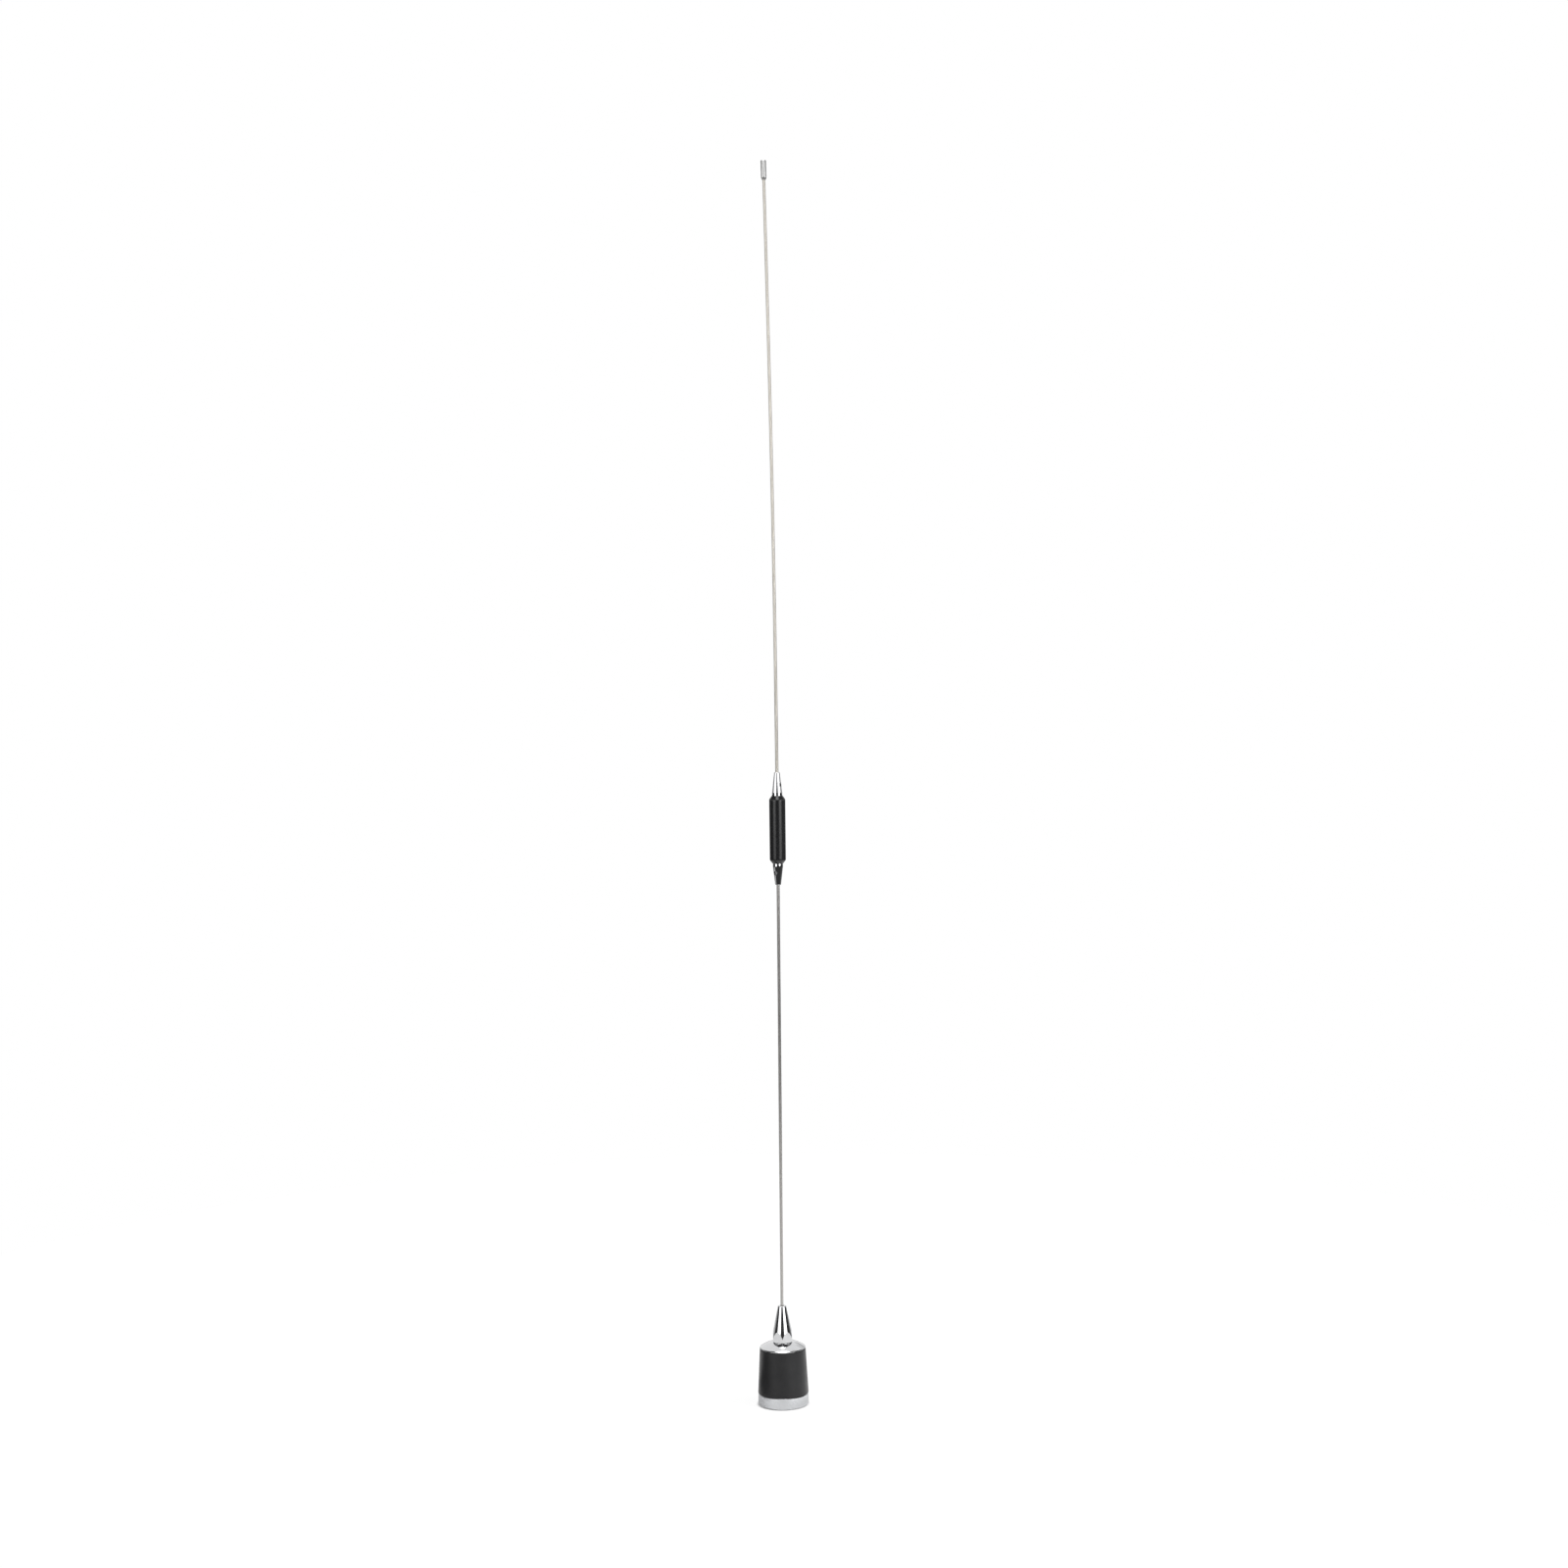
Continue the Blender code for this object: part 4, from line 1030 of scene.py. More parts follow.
@dataclass
class BaseRing:
    """The ring that screws on to the mount, and the gasket in its underside."""

    steps: int = 160
    thread_radius: float = 13.65 * MM
    thread_depth: float = 0.64 * MM
    thread_pitch: float = 25.4 / 18 * MM
    thread_rows: int = 112
    thread_fade: float = 0.9 * MM
    socket_depth: float = 9.4 * MM
    mouth_chamfer: float = 0.45 * MM
    ledge_radius: float = 14.85 * MM
    spigot_radius: float = 16.25 * MM
    step_height: float = 8.2 * MM
    edge: float = 0.35 * MM
    groove: tuple[float, float] = (14.675 * MM, 17.475 * MM)
    groove_depth: float = 1.9 * MM
    snap: tuple[float, float] = (10.3 * MM, 12.1 * MM)
    snap_depth: float = 0.7 * MM

    def build(self, finishes: Finishes) -> None:
        """Builds the ring and its gasket.

        Args:
            finishes: The antenna's materials.
        """
        fit(self.ring(), finishes.ring_plate, Body.ANTENNA, Slot.RING, "base_ring")
        fit(self.gasket(), finishes.rubber, Body.ANTENNA, Slot.RUBBER, "base_gasket")

    def ring(self) -> bpy.types.Object:
        """Turns the ring and cuts its thread."""
        low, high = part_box("base_ring")
        outer = high.x
        bottom = low.z
        ledge = bottom + self.socket_depth
        neck = self.spigot_radius - self.snap_depth
        outline = [
            (self.ledge_radius, high.z, 0.2 * MM),
            (self.spigot_radius, high.z, 0.35 * MM),
            (self.spigot_radius, self.snap[1], 0.1 * MM),
            (neck, self.snap[1], 0.1 * MM),
            (neck, self.snap[0], 0.1 * MM),
            (self.spigot_radius, self.snap[0], 0.1 * MM),
            (self.spigot_radius, bottom + self.step_height, 0.1 * MM),
            (outer - self.edge, bottom + self.step_height, 0.08 * MM),
            (outer, bottom + self.step_height - self.edge, 0.12 * MM),
            (outer, bottom + self.edge, 0.12 * MM),
            (outer - self.edge, bottom, 0.08 * MM),
            (self.groove[1], bottom, 0.12 * MM),
            (self.groove[1], bottom + self.groove_depth, 0.2 * MM),
            (self.groove[0], bottom + self.groove_depth, 0.2 * MM),
            (self.groove[0], bottom, 0.06 * MM),
            (self.thread_radius + self.mouth_chamfer, bottom, 0.0),
        ]
        outline += line((self.thread_radius, bottom), (self.thread_radius, ledge), self.thread_rows)[1:-1]
        outline += [(self.thread_radius, ledge, 0.0), (self.ledge_radius, ledge, 0.15 * MM)]
        ring = turned("ring_body", outline, self.steps)
        settle(ring)
        self.thread(ring, bottom, ledge)
        pick(ring)
        bpy.ops.object.shade_smooth_by_angle(angle=math.radians(35))
        return ring

    def thread(self, ring: bpy.types.Object, bottom: float, ledge: float) -> None:
        """Moves the wall of the bore out to the turns of a right-hand thread.

        Args:
            ring: The turned ring.
            bottom: Height of its lower face.
            ledge: Height where the socket ends.
        """
        reach = self.thread_radius + self.mouth_chamfer + SAME_PLACE
        for vertex in ring.data.vertices:
            radius = radius_of(vertex.co)
            above = vertex.co.z - bottom
            if radius > reach or above < -SAME_PLACE or vertex.co.z > ledge + SAME_PLACE:
                continue
            turn = math.atan2(vertex.co.y, vertex.co.x) / math.tau
            phase = (above / self.thread_pitch - turn) % 1.0
            from_crest = 2 * abs(phase - 0.5)
            flank = min(max((from_crest - 0.25) / 0.625, 0.0), 1.0)
            left = (ledge - vertex.co.z) / self.thread_fade
            groove = self.thread_depth * flank * min(max(left, 0.0), 1.0)
            chamfer = max(self.mouth_chamfer - above, 0.0)
            wanted = self.thread_radius + max(groove, chamfer)
            vertex.co.x *= wanted / radius
            vertex.co.y *= wanted / radius

    def gasket(self) -> bpy.types.Object:
        """Turns the gasket, with round lips where it seals."""
        low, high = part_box("base_gasket")
        inner = self.groove[0] + 0.3 * MM
        outline = [
            (inner, high.z, 0.35 * MM),
            (high.x, high.z, 0.35 * MM),
            (high.x, low.z, 0.6 * MM),
            (inner, low.z, 0.6 * MM),
        ]
        return settle(turned("gasket_ring", outline, self.steps, soft_steps=6))


@dataclass
class CentreContact:
    """The insulating disc across the socket and the sprung contact in it."""

    steps: int = 128
    disc_radius: float = 14.55 * MM
    boss_radius: float = 5.5 * MM
    bush_radius: float = 3.6 * MM
    bush_bore: float = 2.8 * MM
    lip_bore: float = 2.2 * MM
    lip_height: float = 0.8 * MM
    flange_radius: float = 5.2 * MM
    plunger_radius: float = 1.9 * MM
    head_radius: float = 2.5 * MM
    head_height: float = 1.5 * MM
    dome_height: float = 1.2 * MM
    press: float = 1.5 * MM
    wire_radius: float = 0.25 * MM
    wire_facets: int = 12
    spring_turns: int = 5
    turn_facets: int = 32

    def build(self, finishes: Finishes) -> None:
        """Builds the disc, the bush, the plunger and the spring.

        Args:
            finishes: The antenna's materials.
        """
        fit(self.disc(), finishes.insulator, Body.ANTENNA, Slot.INSULATOR, "contact_carrier")
        fit(self.bush(), finishes.brass, Body.ANTENNA, Slot.BRASS, "contact_sleeve")
        fit(self.plunger(), finishes.brass, Body.CONTACT, Slot.BRASS, "contact_plunger")
        self.fit_spring(finishes.tip)

    def fit_spring(self, material: bpy.types.Material) -> None:
        """Winds the spring at its resting length.

        Args:
            material: The material of its wire.
        """
        low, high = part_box("contact_spring")
        bpy.ops.object.select_all(action="DESELECT")
        bpy.ops.mesh.primitive_circle_add(
            vertices=self.wire_facets,
            radius=self.wire_radius,
            location=(high.x - self.wire_radius, 0, low.z + self.wire_radius),
            rotation=(math.radians(90), 0, 0),
        )
        spring = bpy.context.object
        spring.name = "wound_spring"
        spring.data.name = "wound_spring"
        bpy.ops.object.transform_apply(location=True, rotation=True, scale=True)
        winding = spring.modifiers.new("Winding", "SCREW")
        winding.angle = math.tau * self.spring_turns
        winding.screw_offset = high.z - low.z - 2 * self.wire_radius
        winding.steps = winding.render_steps = self.spring_turns * self.turn_facets
        bpy.ops.object.modifier_apply(modifier=winding.name)
        with editing(spring):
            bpy.ops.mesh.select_all(action="SELECT")
            bpy.ops.mesh.fill_holes(sides=self.wire_facets)
            bpy.ops.mesh.select_all(action="SELECT")
            bpy.ops.mesh.normals_make_consistent(inside=False)
        settle(spring, sharp=50.0)
        fit(spring, material, Body.ANTENNA, Slot.STAINLESS, "contact_spring")
        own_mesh(spring)

    def disc(self) -> bpy.types.Object:
        """Turns the insulating disc with the boss round its middle."""
        low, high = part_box("contact_carrier")
        hole = self.bush_radius + 0.3 * MM
        under = high.z - 2.4 * MM
        outline = [
            (hole, high.z, 0.1 * MM),
            (self.disc_radius, high.z, 0.25 * MM),
            (self.disc_radius, under, 0.25 * MM),
            (self.boss_radius + 0.35 * MM, under, 0.3 * MM),
            (self.boss_radius, low.z, 0.3 * MM),
            (hole, low.z, 0.12 * MM),
        ]
        return settle(turned("contact_disc", outline, self.steps))

    def bush(self) -> bpy.types.Object:
        """Turns the bush that the plunger slides in."""
        low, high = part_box("contact_sleeve")
        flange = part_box("contact_carrier")[1].z + 0.3 * MM
        roof = high.z - 0.8 * MM
        outline = [
            (0, high.z, 0.0),
            (self.bush_radius, high.z, 0.3 * MM),
            (self.bush_radius, flange + 1.2 * MM, 0.1 * MM),
            (self.flange_radius, flange + 1.2 * MM, 0.2 * MM),
            (self.flange_radius, flange, 0.2 * MM),
            (self.bush_radius, flange, 0.1 * MM),
            (self.bush_radius, low.z, 0.3 * MM),
            (self.lip_bore, low.z, 0.15 * MM),
            (self.lip_bore, low.z + self.lip_height, 0.08 * MM),
            (self.bush_bore, low.z + self.lip_height, 0.08 * MM),
            (self.bush_bore, roof, 0.2 * MM),
            (0, roof, 0.0),
        ]
        return settle(turned("contact_bush", outline, self.steps, closed=False))

    def plunger(self) -> bpy.types.Object:
        """Turns the plunger, with its domed tip."""
        low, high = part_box("contact_plunger")
        seat = high.z - self.head_height
        outline = [
            (0, high.z, 0.0),
            (self.head_radius, high.z, 0.2 * MM),
            (self.head_radius, seat, 0.1 * MM),
            (self.plunger_radius, seat, 0.05 * MM),
        ]
        middle = (0.0, low.z + self.dome_height)
        outline += arc(middle, (self.plunger_radius, self.dome_height), 0, -90, 16)
        return settle(turned("contact_pin", outline, 96, closed=False))


@dataclass
class CoilHousing:
    """The black housing, the domed cap on it and the seal between them."""

    steps: int = 192
    bore_radius: float = 16.55 * MM
    wall: float = 1.65 * MM
    draft: float = 1.7 * MM
    plate: float = 2.2 * MM
    stud_hole: float = 4.2 * MM
    edge: float = 0.35 * MM
    spigot_height: float = 6.0 * MM
    ridge_middle: float = 2.7 * MM
    ridge_half: float = 0.6 * MM
    ridge_radius: float = 15.85 * MM
    cap_land: float = 0.25 * MM
    cap_rim: float = 1.5 * MM
    cap_seat: float = 8.2 * MM
    seal_groove: tuple[float, float] = (10.6 * MM, 12.4 * MM)
    seal_depth: float = 1.5 * MM
    recess_radius: float = 6.3 * MM
    recess_depth: float = 1.9 * MM

    def build(self, finishes: Finishes) -> None:
        """Builds the housing and its cap, and dresses the seal.

        Args:
            finishes: The antenna's materials.
        """
        fit(self.housing(), finishes.housing, Body.ANTENNA, Slot.PLASTIC, "coil_housing")
        fit(self.cap(), finishes.cap_plate, Body.ANTENNA, Slot.CHROME, "top_cap")
        fit(self.seal(), finishes.rubber, Body.ANTENNA, Slot.RUBBER, "cap_seal")

    def housing(self) -> bpy.types.Object:
        """Turns the tapered shell, with the ridge inside that snaps into the ring."""
        low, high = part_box("coil_housing")
        outer = high.x
        top = outer - self.draft
        height = high.z - low.z
        under = high.z - self.plate
        spigot = low.z + self.spigot_height

        def radius_at(level: float) -> float:
            """The outer radius at a height in the world."""
            return outer - self.draft * (level - low.z) / height

        outline = [
            (self.stud_hole, high.z, 0.1 * MM),
            (top, high.z, self.edge),
        ]
        outline += line((top, high.z), (outer, low.z), 12)
        outline += [
            (outer, low.z, self.edge),
            (self.bore_radius, low.z, 0.2 * MM),
            (self.bore_radius, low.z + self.ridge_middle - self.ridge_half, 0.0),
            (self.ridge_radius, low.z + self.ridge_middle - self.ridge_half / 2, 0.1 * MM),
            (self.ridge_radius, low.z + self.ridge_middle + self.ridge_half / 2, 0.1 * MM),
            (self.bore_radius, low.z + self.ridge_middle + self.ridge_half, 0.0),
            (self.bore_radius, spigot, 0.1 * MM),
            (radius_at(spigot) - self.wall, spigot, 0.1 * MM),
            (radius_at(under) - self.wall, under, 0.6 * MM),
            (self.stud_hole, under, 0.1 * MM),
        ]
        return settle(turned("housing_shell", outline, self.steps))

    def cap(self) -> bpy.types.Object:
        """Turns the domed cap, hollowed below for the stud's flange and the seal."""
        low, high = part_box("top_cap")
        outer = high.x
        shoulder = low.z + self.cap_land
        squares = outer**2 + shoulder**2 - self.cap_seat**2 - high.z**2
        middle = squares / (2 * (shoulder - high.z))
        dome = math.hypot(self.cap_seat, high.z - middle)
        start = math.degrees(math.acos(self.cap_seat / dome))
        rim_middle = outer - self.cap_rim
        turn = math.degrees(math.acos(rim_middle / (dome - self.cap_rim)))
        rim_height = middle + (dome - self.cap_rim) * math.sin(math.radians(turn))
        foot = math.degrees(math.asin((low.z - rim_height) / self.cap_rim))
        outline = [(self.stud_hole, high.z, 0.05 * MM)]
        outline += arc((0.0, middle), (dome, dome), start, turn, 24)
        outline += arc((rim_middle, rim_height), (self.cap_rim, self.cap_rim), turn, foot, 10)[1:]
        outline += [
            (self.seal_groove[1], low.z, 0.1 * MM),
            (self.seal_groove[1], low.z + self.seal_depth, 0.1 * MM),
            (self.seal_groove[0], low.z + self.seal_depth, 0.1 * MM),
            (self.seal_groove[0], low.z, 0.1 * MM),
            (self.recess_radius, low.z, 0.1 * MM),
            (self.recess_radius, low.z + self.recess_depth, 0.1 * MM),
            (self.stud_hole, low.z + self.recess_depth, 0.1 * MM),
        ]
        return settle(turned("domed_cap", outline, self.steps), sharp=14.0)

    def seal(self) -> bpy.types.Object:
        """Turns the round ring between the cap and the housing."""
        low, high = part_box("cap_seal")
        radius = (high.z - low.z) / 2
        middle = high.x - radius
        outline = arc((middle, low.z + radius), (radius, radius), 90, -270, 16)[:-1]
        return settle(turned("seal_ring", outline, self.steps))


@dataclass
class SetScrew:
    """A black set screw with a hexagon socket."""

    radius: float = 1.62 * MM
    socket_radius: float = 0.86 * MM
    socket_share: float = 0.5
    edge: float = 0.18 * MM
    steps: int = 48

    def build(self, name: str, length: float) -> bpy.types.Object:
        """Makes the screw, its inner end on the floor and its socket upwards.

        Args:
            name: The new object's name.
            length: How long the screw is.

        Returns:
            The new object, along Z from the origin.
        """
        bpy.ops.object.select_all(action="DESELECT")
        bpy.ops.mesh.primitive_cylinder_add(
            vertices=self.steps, radius=self.radius, depth=length, location=(0, 0, length / 2)
        )
        screw = bpy.context.object
        screw.name = name
        screw.data.name = name
        soften(screw, self.edge, lambda a, b: abs(a.z - b.z) < SAME_PLACE, steps=3)
        depth = length * self.socket_share
        bpy.ops.object.select_all(action="DESELECT")
        bpy.ops.mesh.primitive_cone_add(
            vertices=6, radius1=0.0, radius2=self.socket_radius, depth=0.4 * MM, location=(0, 0, length - depth - 0.2 * MM)
        )
        key = bpy.context.object
        with editing(key):
            select_vertices(key, lambda place: place.z > length - depth - SAME_PLACE)
            bpy.ops.mesh.extrude_region_move(TRANSFORM_OT_translate={"value": (0, 0, 2 * depth)})
            bpy.ops.mesh.select_all(action="SELECT")
            bpy.ops.mesh.normals_make_consistent(inside=False)
        cut(screw, key)
        return screw


def drill(piece: bpy.types.Object, radius: float, height: float, angle: float, surface: float) -> None:
    """Drills a set screw's hole into a turned piece, with its mouth broken.

    Args:
        piece: The piece, turned about Z.
        radius: The hole's radius.
        height: How high its middle is.
        angle: Where it is, in degrees from +X.
        surface: How far the piece's side is from the axis there.
    """
    lip = 0.12 * MM
    outline = [
        (0, 2 * surface, 0.0),
        (radius + surface + lip, 2 * surface, 0.0),
        (radius, surface - lip, 0.0),
        (radius, 0.2 * surface, 0.0),
        (0, 0.2 * surface, 0.0),
    ]
    tool = turned("drill", outline, 64, closed=False)
    settle(tool, across(height, angle))
    cut(piece, tool)


def across(height: float, angle: float) -> Matrix:
    """The frame of a screw: its own Z points outwards at an angle and height.

    Args:
        height: Its height above the piece's origin.
        angle: Its direction, in degrees from +X.

    Returns:
        The matrix from the screw's frame to the piece's.
    """
    turn = Matrix.Rotation(math.radians(angle), 4, "Z") @ Matrix.Rotation(math.pi / 2, 4, "Y")
    return Matrix.Translation((0, 0, height)) @ turn


@dataclass
class WhipFerrule:
    """The hexagon turned to a cone that holds the lower whip, and its set screw."""

    steps: int = 192
    across_flats: float = 13.9 * MM
    flat_height: float = 7.9 * MM
    top_radius: float = 3.05 * MM
    chamfer: float = 0.35 * MM
    foot_chamfer: float = 0.45 * MM
    shoulder_radius: float = 6.7 * MM
    shoulder: float = 0.28 * MM
    stud_bore: float = 4.2 * MM
    stud_bore_depth: float = 10.0 * MM
    whip_bore: float = 1.25 * MM
    drill_slope: float = 0.6
    screw_height: float = 17.6 * MM
    screw_angle: float = 90.0
    screw_hole: float = 1.7 * MM
    screw_inner: float = 1.4 * MM
    screw_recess: float = 0.35 * MM

    def build(self, finishes: Finishes) -> None:
        """Builds the ferrule and its set screw.

        Args:
            finishes: The antenna's materials.
        """
        low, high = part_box("whip_ferrule")
        height = high.z - low.z
        corner = self.across_flats / math.sqrt(3)
        slope = (self.across_flats / 2 - self.top_radius) / (height - self.flat_height)
        cone_foot = height - (corner - self.top_radius) / slope
        seat = self.stud_bore_depth + (self.stud_bore - self.whip_bore) * self.drill_slope
        outline = [
            (self.whip_bore, height, 0.15 * MM),
            (self.top_radius, height, self.chamfer),
        ]
        outline += line((self.top_radius, height), (corner, cone_foot), 16)
        outline += [
            (corner, cone_foot, 0.0),
            (corner, self.foot_chamfer, 0.0),
            (corner - 2 * self.foot_chamfer, 0, 0.0),
            (self.shoulder_radius, 0, 0.0),
            (self.shoulder_radius, -self.shoulder, 0.05 * MM),
            (self.stud_bore, -self.shoulder, 0.2 * MM),
            (self.stud_bore, self.stud_bore_depth, 0.0),
            (self.whip_bore, seat, 0.0),
        ]
        ferrule = turned("hexagon_ferrule", outline, self.steps, soft_steps=6)
        self.mill_flats(ferrule)
        surface = self.top_radius + slope * (height - self.screw_height)
        drill(ferrule, self.screw_hole, self.screw_height, self.screw_angle, surface)
        settle(ferrule, Matrix.Translation((0, 0, low.z)), sharp=9.0)
        fit(ferrule, finishes.chrome, Body.ANTENNA, Slot.CHROME, "whip_ferrule")

        screw = SetScrew().build("ferrule_screw", surface - self.screw_recess - self.screw_inner)
        place = Matrix.Translation((0, 0, low.z)) @ across(self.screw_height, self.screw_angle)
        settle(screw, place @ Matrix.Translation((0, 0, self.screw_inner)))
        fit(screw, finishes.screw, Body.ANTENNA, Slot.SCREW, "base_set_screw")

    def mill_flats(self, ferrule: bpy.types.Object) -> None:
        """Cuts the six flats, which end in arches on the cone.

        Args:
            ferrule: The turned ferrule.
        """
        with editing(ferrule):
            for i in range(6):
                way = (math.cos(math.tau * i / 6), math.sin(math.tau * i / 6), 0)
                spot = tuple(self.across_flats / 2 * part for part in way)
                bpy.ops.mesh.select_all(action="SELECT")
                bpy.ops.mesh.bisect(
                    plane_co=spot, plane_no=way, use_fill=True, clear_outer=True, threshold=MERGE_DISTANCE
                )
            bpy.ops.mesh.select_all(action="SELECT")
            bpy.ops.mesh.remove_doubles(threshold=MERGE_DISTANCE)
            bpy.ops.mesh.normals_make_consistent(inside=False)


@dataclass(frozen=True)
class WhipLine:
    """The bowed line that the whips and the phasing coil follow."""

    foot: float
    top: float
    bow: float = 2.67 * MM
    sway: float = 0.43 * MM

    def offset(self, height: float) -> float:
        """How far the line stands off the base's axis at a height."""
        if height <= self.foot:
            return 0.0
        angle = math.pi * (height - self.foot) / (self.top - self.foot)
        return self.bow * math.sin(angle) - self.sway * math.sin(2 * angle)

    def lean(self, height: float) -> float:
        """How far the line leans at a height, as a turn about Y."""
        span = self.top - self.foot
        angle = math.pi * (height - self.foot) / span
        return math.atan(math.pi / span * (self.bow * math.cos(angle) - 2 * self.sway * math.cos(2 * angle)))

    def place(self, height: float) -> Matrix:
        """The frame of a piece that sits on the line at a height."""
        spot = Matrix.Translation((self.offset(height), 0, height))
        return spot @ Matrix.Rotation(self.lean(height), 4, "Y")


class End(Enum):
    """The two ends of the phasing coil."""

    LOWER = -1
    UPPER = 1


@dataclass
class PhasingFerrule:
    """One of the chrome cones that close the phasing coil."""

    end: End
    exposed: float
    end_radius: float
    whip_bore: float
    screw_height: float
    screw_angle: float
    steps: int = 128
    radius: float = 3.65 * MM
    hidden: float = 6.0 * MM
    collar: float = 2.2 * MM
    core_bore: float = 2.6 * MM
    core_depth: float = 5.5 * MM
    web: float = 1.0 * MM
    chamfer: float = 0.14 * MM
    screw_hole: float = 1.7 * MM
    screw_recess: float = 0.35 * MM

    def build(self, finishes: Finishes, place: Matrix, half_sleeve: float) -> None:
        """Builds the ferrule and its set screw.

        Args:
            finishes: The antenna's materials.
            place: The phasing coil's frame.
            half_sleeve: Half of the sleeve's length.
        """
        side = self.end.name.lower()
        length = self.hidden + self.exposed
        collar = self.hidden + self.collar
        outline = [
            (self.whip_bore, length, 0.1 * MM),
            (self.end_radius, length, self.chamfer),
        ]
        outline += line((self.end_radius, length), (self.radius, collar), 12)
        outline += [
            (self.radius, collar, 0.15 * MM),
            (self.radius, 0, 0.2 * MM),
            (self.core_bore, 0, 0.15 * MM),
            (self.core_bore, self.core_depth, 0.0),
            (self.whip_bore, self.core_depth + self.web, 0.0),
        ]
        ferrule = turned("phasing_cone_" + side, outline, self.steps, soft_steps=6)
        height = self.hidden + self.screw_height
        taper = (self.radius - self.end_radius) / (length - collar)
        surface = self.radius - taper * (height - collar)
        angle = self.screw_angle * self.end.value
        drill(ferrule, self.screw_hole, height, angle, surface)
        foot = Matrix.Translation((0, 0, self.end.value * (half_sleeve - self.hidden)))
        if self.end is End.LOWER:
            foot = foot @ Matrix.Rotation(math.pi, 4, "X")
        settle(ferrule, place @ foot, sharp=25.0)
        fit(ferrule, finishes.chrome, Body.ANTENNA, Slot.CHROME, f"phasing_{side}_ferrule")

        inner = self.whip_bore + 0.15 * MM
        screw = SetScrew().build("phasing_screw_" + side, surface - self.screw_recess - inner)
        way = place @ foot @ across(height, angle) @ Matrix.Translation((0, 0, inner))
        settle(screw, way)
        fit(screw, finishes.screw, Body.ANTENNA, Slot.SCREW, f"phasing_{side}_set_screw")


@dataclass
class PhasingCoil:
    """The black sleeve halfway up, its two ferrules, and the winding and core inside."""

    height: float
    steps: int = 160
    half: float = 24.65 * MM
    radius: float = 5.82 * MM
    bore: float = 3.75 * MM
    lip: float = 0.12 * MM
    chamfer: float = 2.6 * MM

    def build(self, finishes: Finishes, whip_line: WhipLine) -> None:
        """Builds the phasing coil.

        Args:
            finishes: The antenna's materials.
            whip_line: The line that it sits on.
        """
        place = whip_line.place(self.height)
        lower = PhasingFerrule(End.LOWER, 15.5 * MM, 2.05 * MM, 1.2 * MM, 6.8 * MM, -135.0)
        upper = PhasingFerrule(End.UPPER, 16.8 * MM, 2.0 * MM, 1.25 * MM, 7.7 * MM, -25.0)
        for ferrule in (lower, upper):
            ferrule.build(finishes, place, self.half)
        fit(self.sleeve(place), finishes.sleeve, Body.ANTENNA, Slot.PLASTIC, "phasing_sleeve")
        dress_node("phasing_core", finishes.insulator)
        dress_node("phasing_coil", finishes.copper)

    def sleeve(self, place: Matrix) -> bpy.types.Object:
        """Turns the sleeve, chamfered at both ends.

        Args:
            place: The phasing coil's frame.

        Returns:
            The sleeve.
        """
        lip = self.bore + self.lip
        shoulder = self.half - self.chamfer
        outline = [
            (self.bore, self.half, 0.08 * MM),
            (lip, self.half, 0.1 * MM),
            (self.radius, shoulder, 0.5 * MM),
        ]
        outline += line((self.radius, shoulder), (self.radius, -shoulder), 8)
        outline += [
            (self.radius, -shoulder, 0.5 * MM),
            (lip, -self.half, 0.1 * MM),
            (self.bore, -self.half, 0.08 * MM),
        ]
        return settle(turned("phasing_tube", outline, self.steps), place)


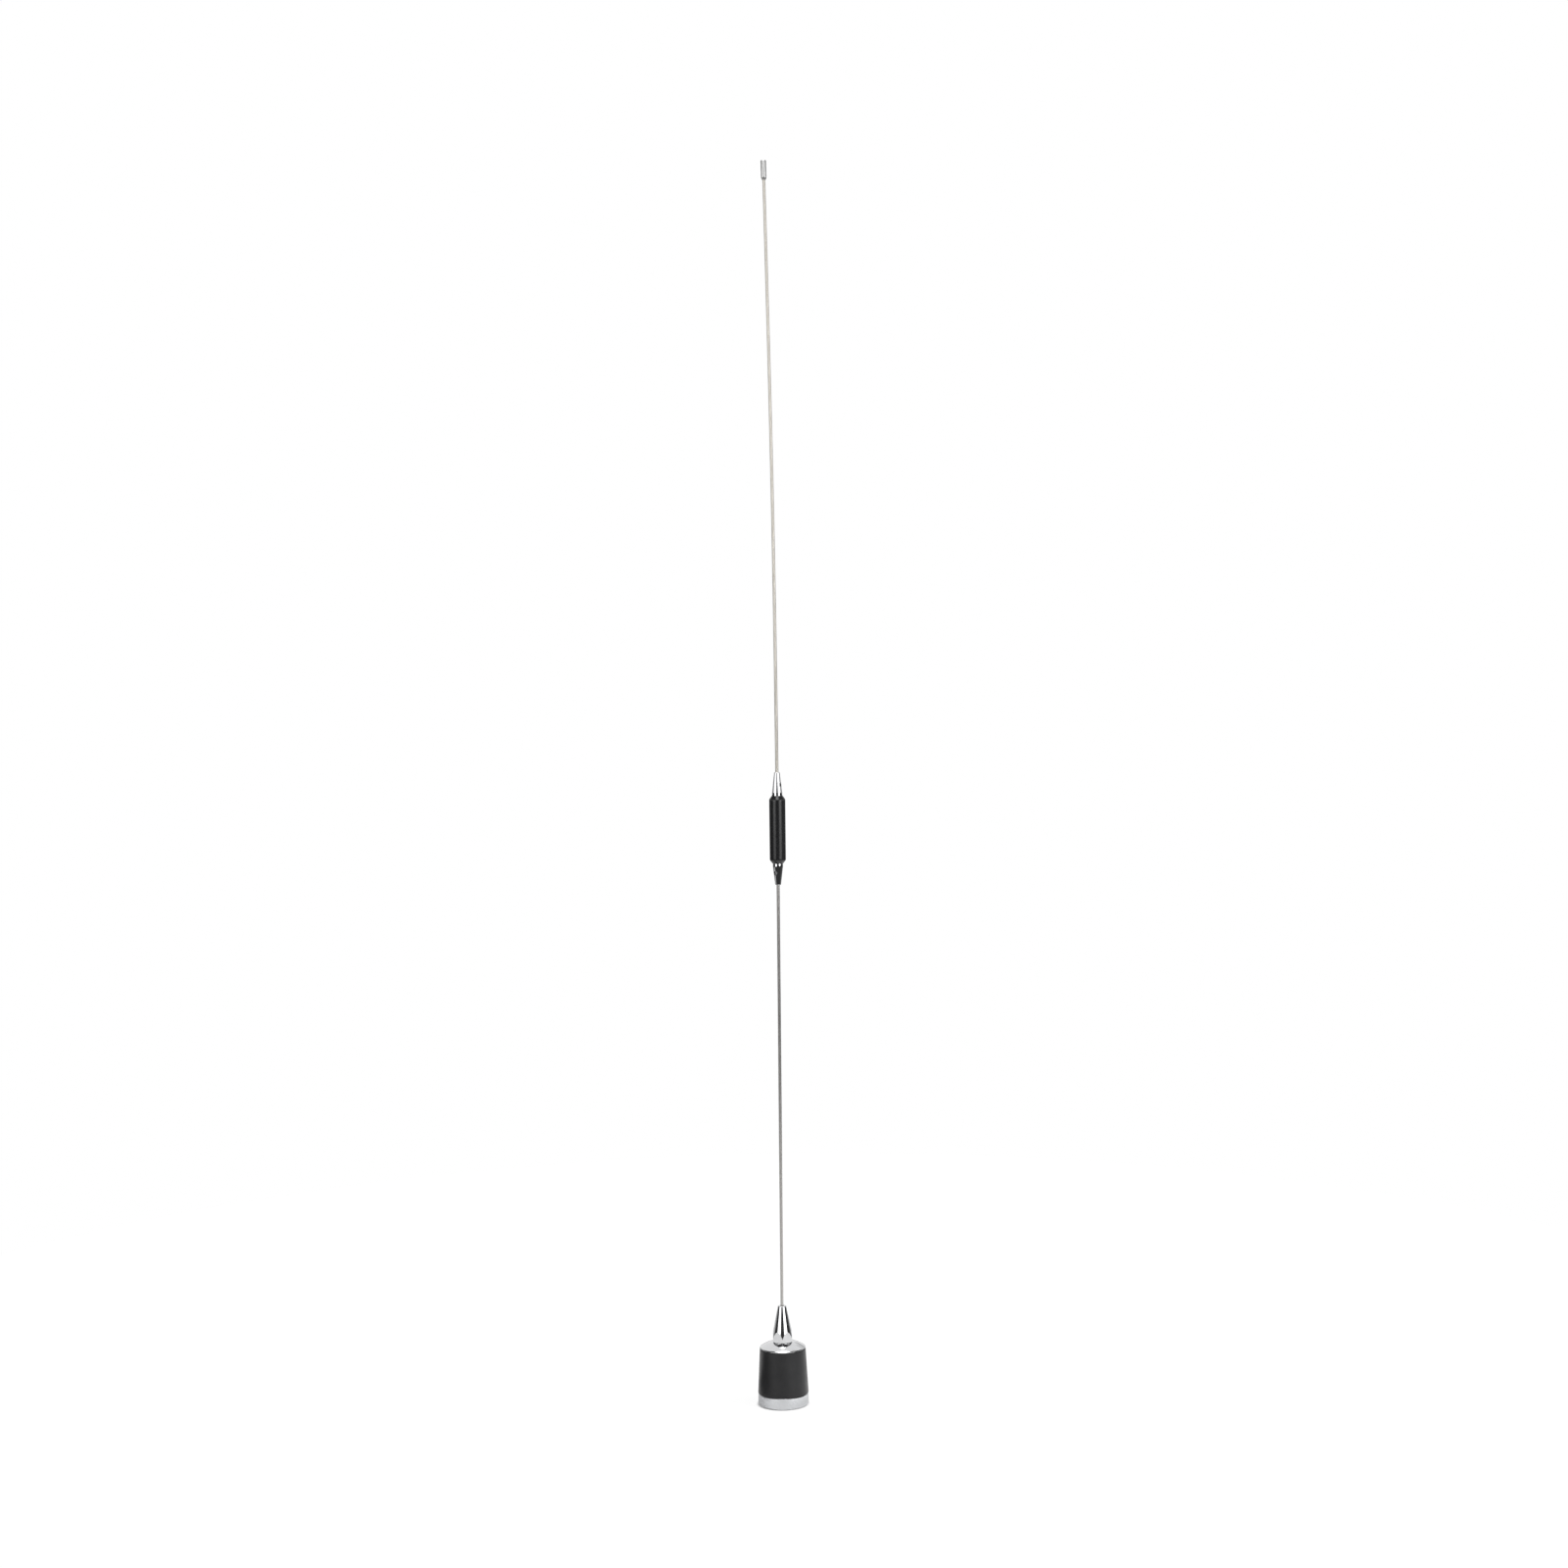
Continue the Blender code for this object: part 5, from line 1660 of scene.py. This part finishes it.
@dataclass
class Whips:
    """The two rods and the sleeve on the end of the upper one."""

    line: WhipLine
    steps: int = 48
    rings: int = 48
    lower_radius: float = 1.1 * MM
    upper_radii: tuple[float, float] = (1.15 * MM, 1.05 * MM)
    end_bevel: float = 0.2 * MM
    tip_radius: float = 2.0 * MM
    tip_length: float = 13.7 * MM
    tip_bore: float = 1.12 * MM
    tip_taper: float = 1.6 * MM
    tip_crown: float = 2.5 * MM

    def build(self, finishes: Finishes) -> None:
        """Builds both rods and the tip.

        Args:
            finishes: The antenna's materials.
        """
        lower = self.rod("lower_rod", "lower_whip", (self.lower_radius, self.lower_radius))
        fit(lower, finishes.lower_rod, Body.ANTENNA, Slot.STAINLESS, "lower_whip")
        upper = self.rod("upper_rod", "upper_whip", self.upper_radii)
        fit(upper, finishes.rod, Body.ANTENNA, Slot.STAINLESS, "upper_whip")
        fit(self.tip(), finishes.tip, Body.ANTENNA, Slot.STAINLESS, "whip_tip")

    def rod(self, name: str, node: str, radii: tuple[float, float]) -> bpy.types.Object:
        """Makes a rod that follows the bowed line.

        Args:
            name: The new object's name.
            node: The node of the fixed frame that gives its ends.
            radii: Its radius at the foot and at the top.

        Returns:
            The rod.
        """
        low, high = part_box(node)
        length = high.z - low.z
        bpy.ops.object.select_all(action="DESELECT")
        bpy.ops.mesh.primitive_cone_add(
            vertices=self.steps,
            radius1=radii[0],
            radius2=radii[1],
            depth=length,
            location=(0, 0, low.z + length / 2),
        )
        rod = bpy.context.object
        rod.name = name
        rod.data.name = name
        with editing(rod):
            select_edges(rod, lambda a, b: abs(a.z - b.z) < SAME_PLACE)
            bpy.ops.mesh.bevel(offset=self.end_bevel, segments=3, affect="EDGES")
            select_edges(rod, lambda a, b: abs(a.z - b.z) > length / 2)
            bpy.ops.mesh.subdivide(number_cuts=self.rings)
        settle(rod)
        for vertex in rod.data.vertices:
            vertex.co.x += self.line.offset(vertex.co.z)
        return rod

    def tip(self) -> bpy.types.Object:
        """Turns the sleeve on the whip's end, tapered where the rod goes in."""
        top = self.tip_length
        roof = top - self.tip_crown
        outline = [
            (0, top, 0.0),
            (self.tip_radius, top, 0.3 * MM),
            (self.tip_radius, self.tip_taper, 0.4 * MM),
            (self.tip_bore + 0.2 * MM, 0, 0.08 * MM),
            (self.tip_bore, 0, 0.04 * MM),
            (self.tip_bore, roof, 0.0),
            (0, roof, 0.0),
        ]
        tip = turned("tip_sleeve", outline, 96, closed=False)
        return settle(tip, self.line.place(self.line.top - self.tip_length))


def dress_inner_parts(finishes: Finishes) -> None:
    """Gives the parts inside the housing their materials.

    Args:
        finishes: The antenna's materials.
    """
    for node in ("whip_stud", "solder_tag", "stud_nut"):
        dress_node(node, finishes.brass)
    for node in ("loading_coil", "feed_lead"):
        dress_node(node, finishes.copper)
    dress_node("coil_former", finishes.sleeve)


def main() -> None:
    """Builds the studio and then the antenna, from the ground up."""
    logging.basicConfig(level=logging.INFO, format="%(name)s: %(message)s")
    Studio().build()
    finishes = Finishes.build(Effects.build())
    BaseRing().build(finishes)
    CentreContact().build(finishes)
    CoilHousing().build(finishes)
    dress_inner_parts(finishes)
    WhipFerrule().build(finishes)
    whip_line = WhipLine(foot=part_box("whip_ferrule")[1].z, top=0.9)
    PhasingCoil(height=424.05 * MM).build(finishes, whip_line)
    Whips(whip_line).build(finishes)


if __name__ == "__main__":
    main()
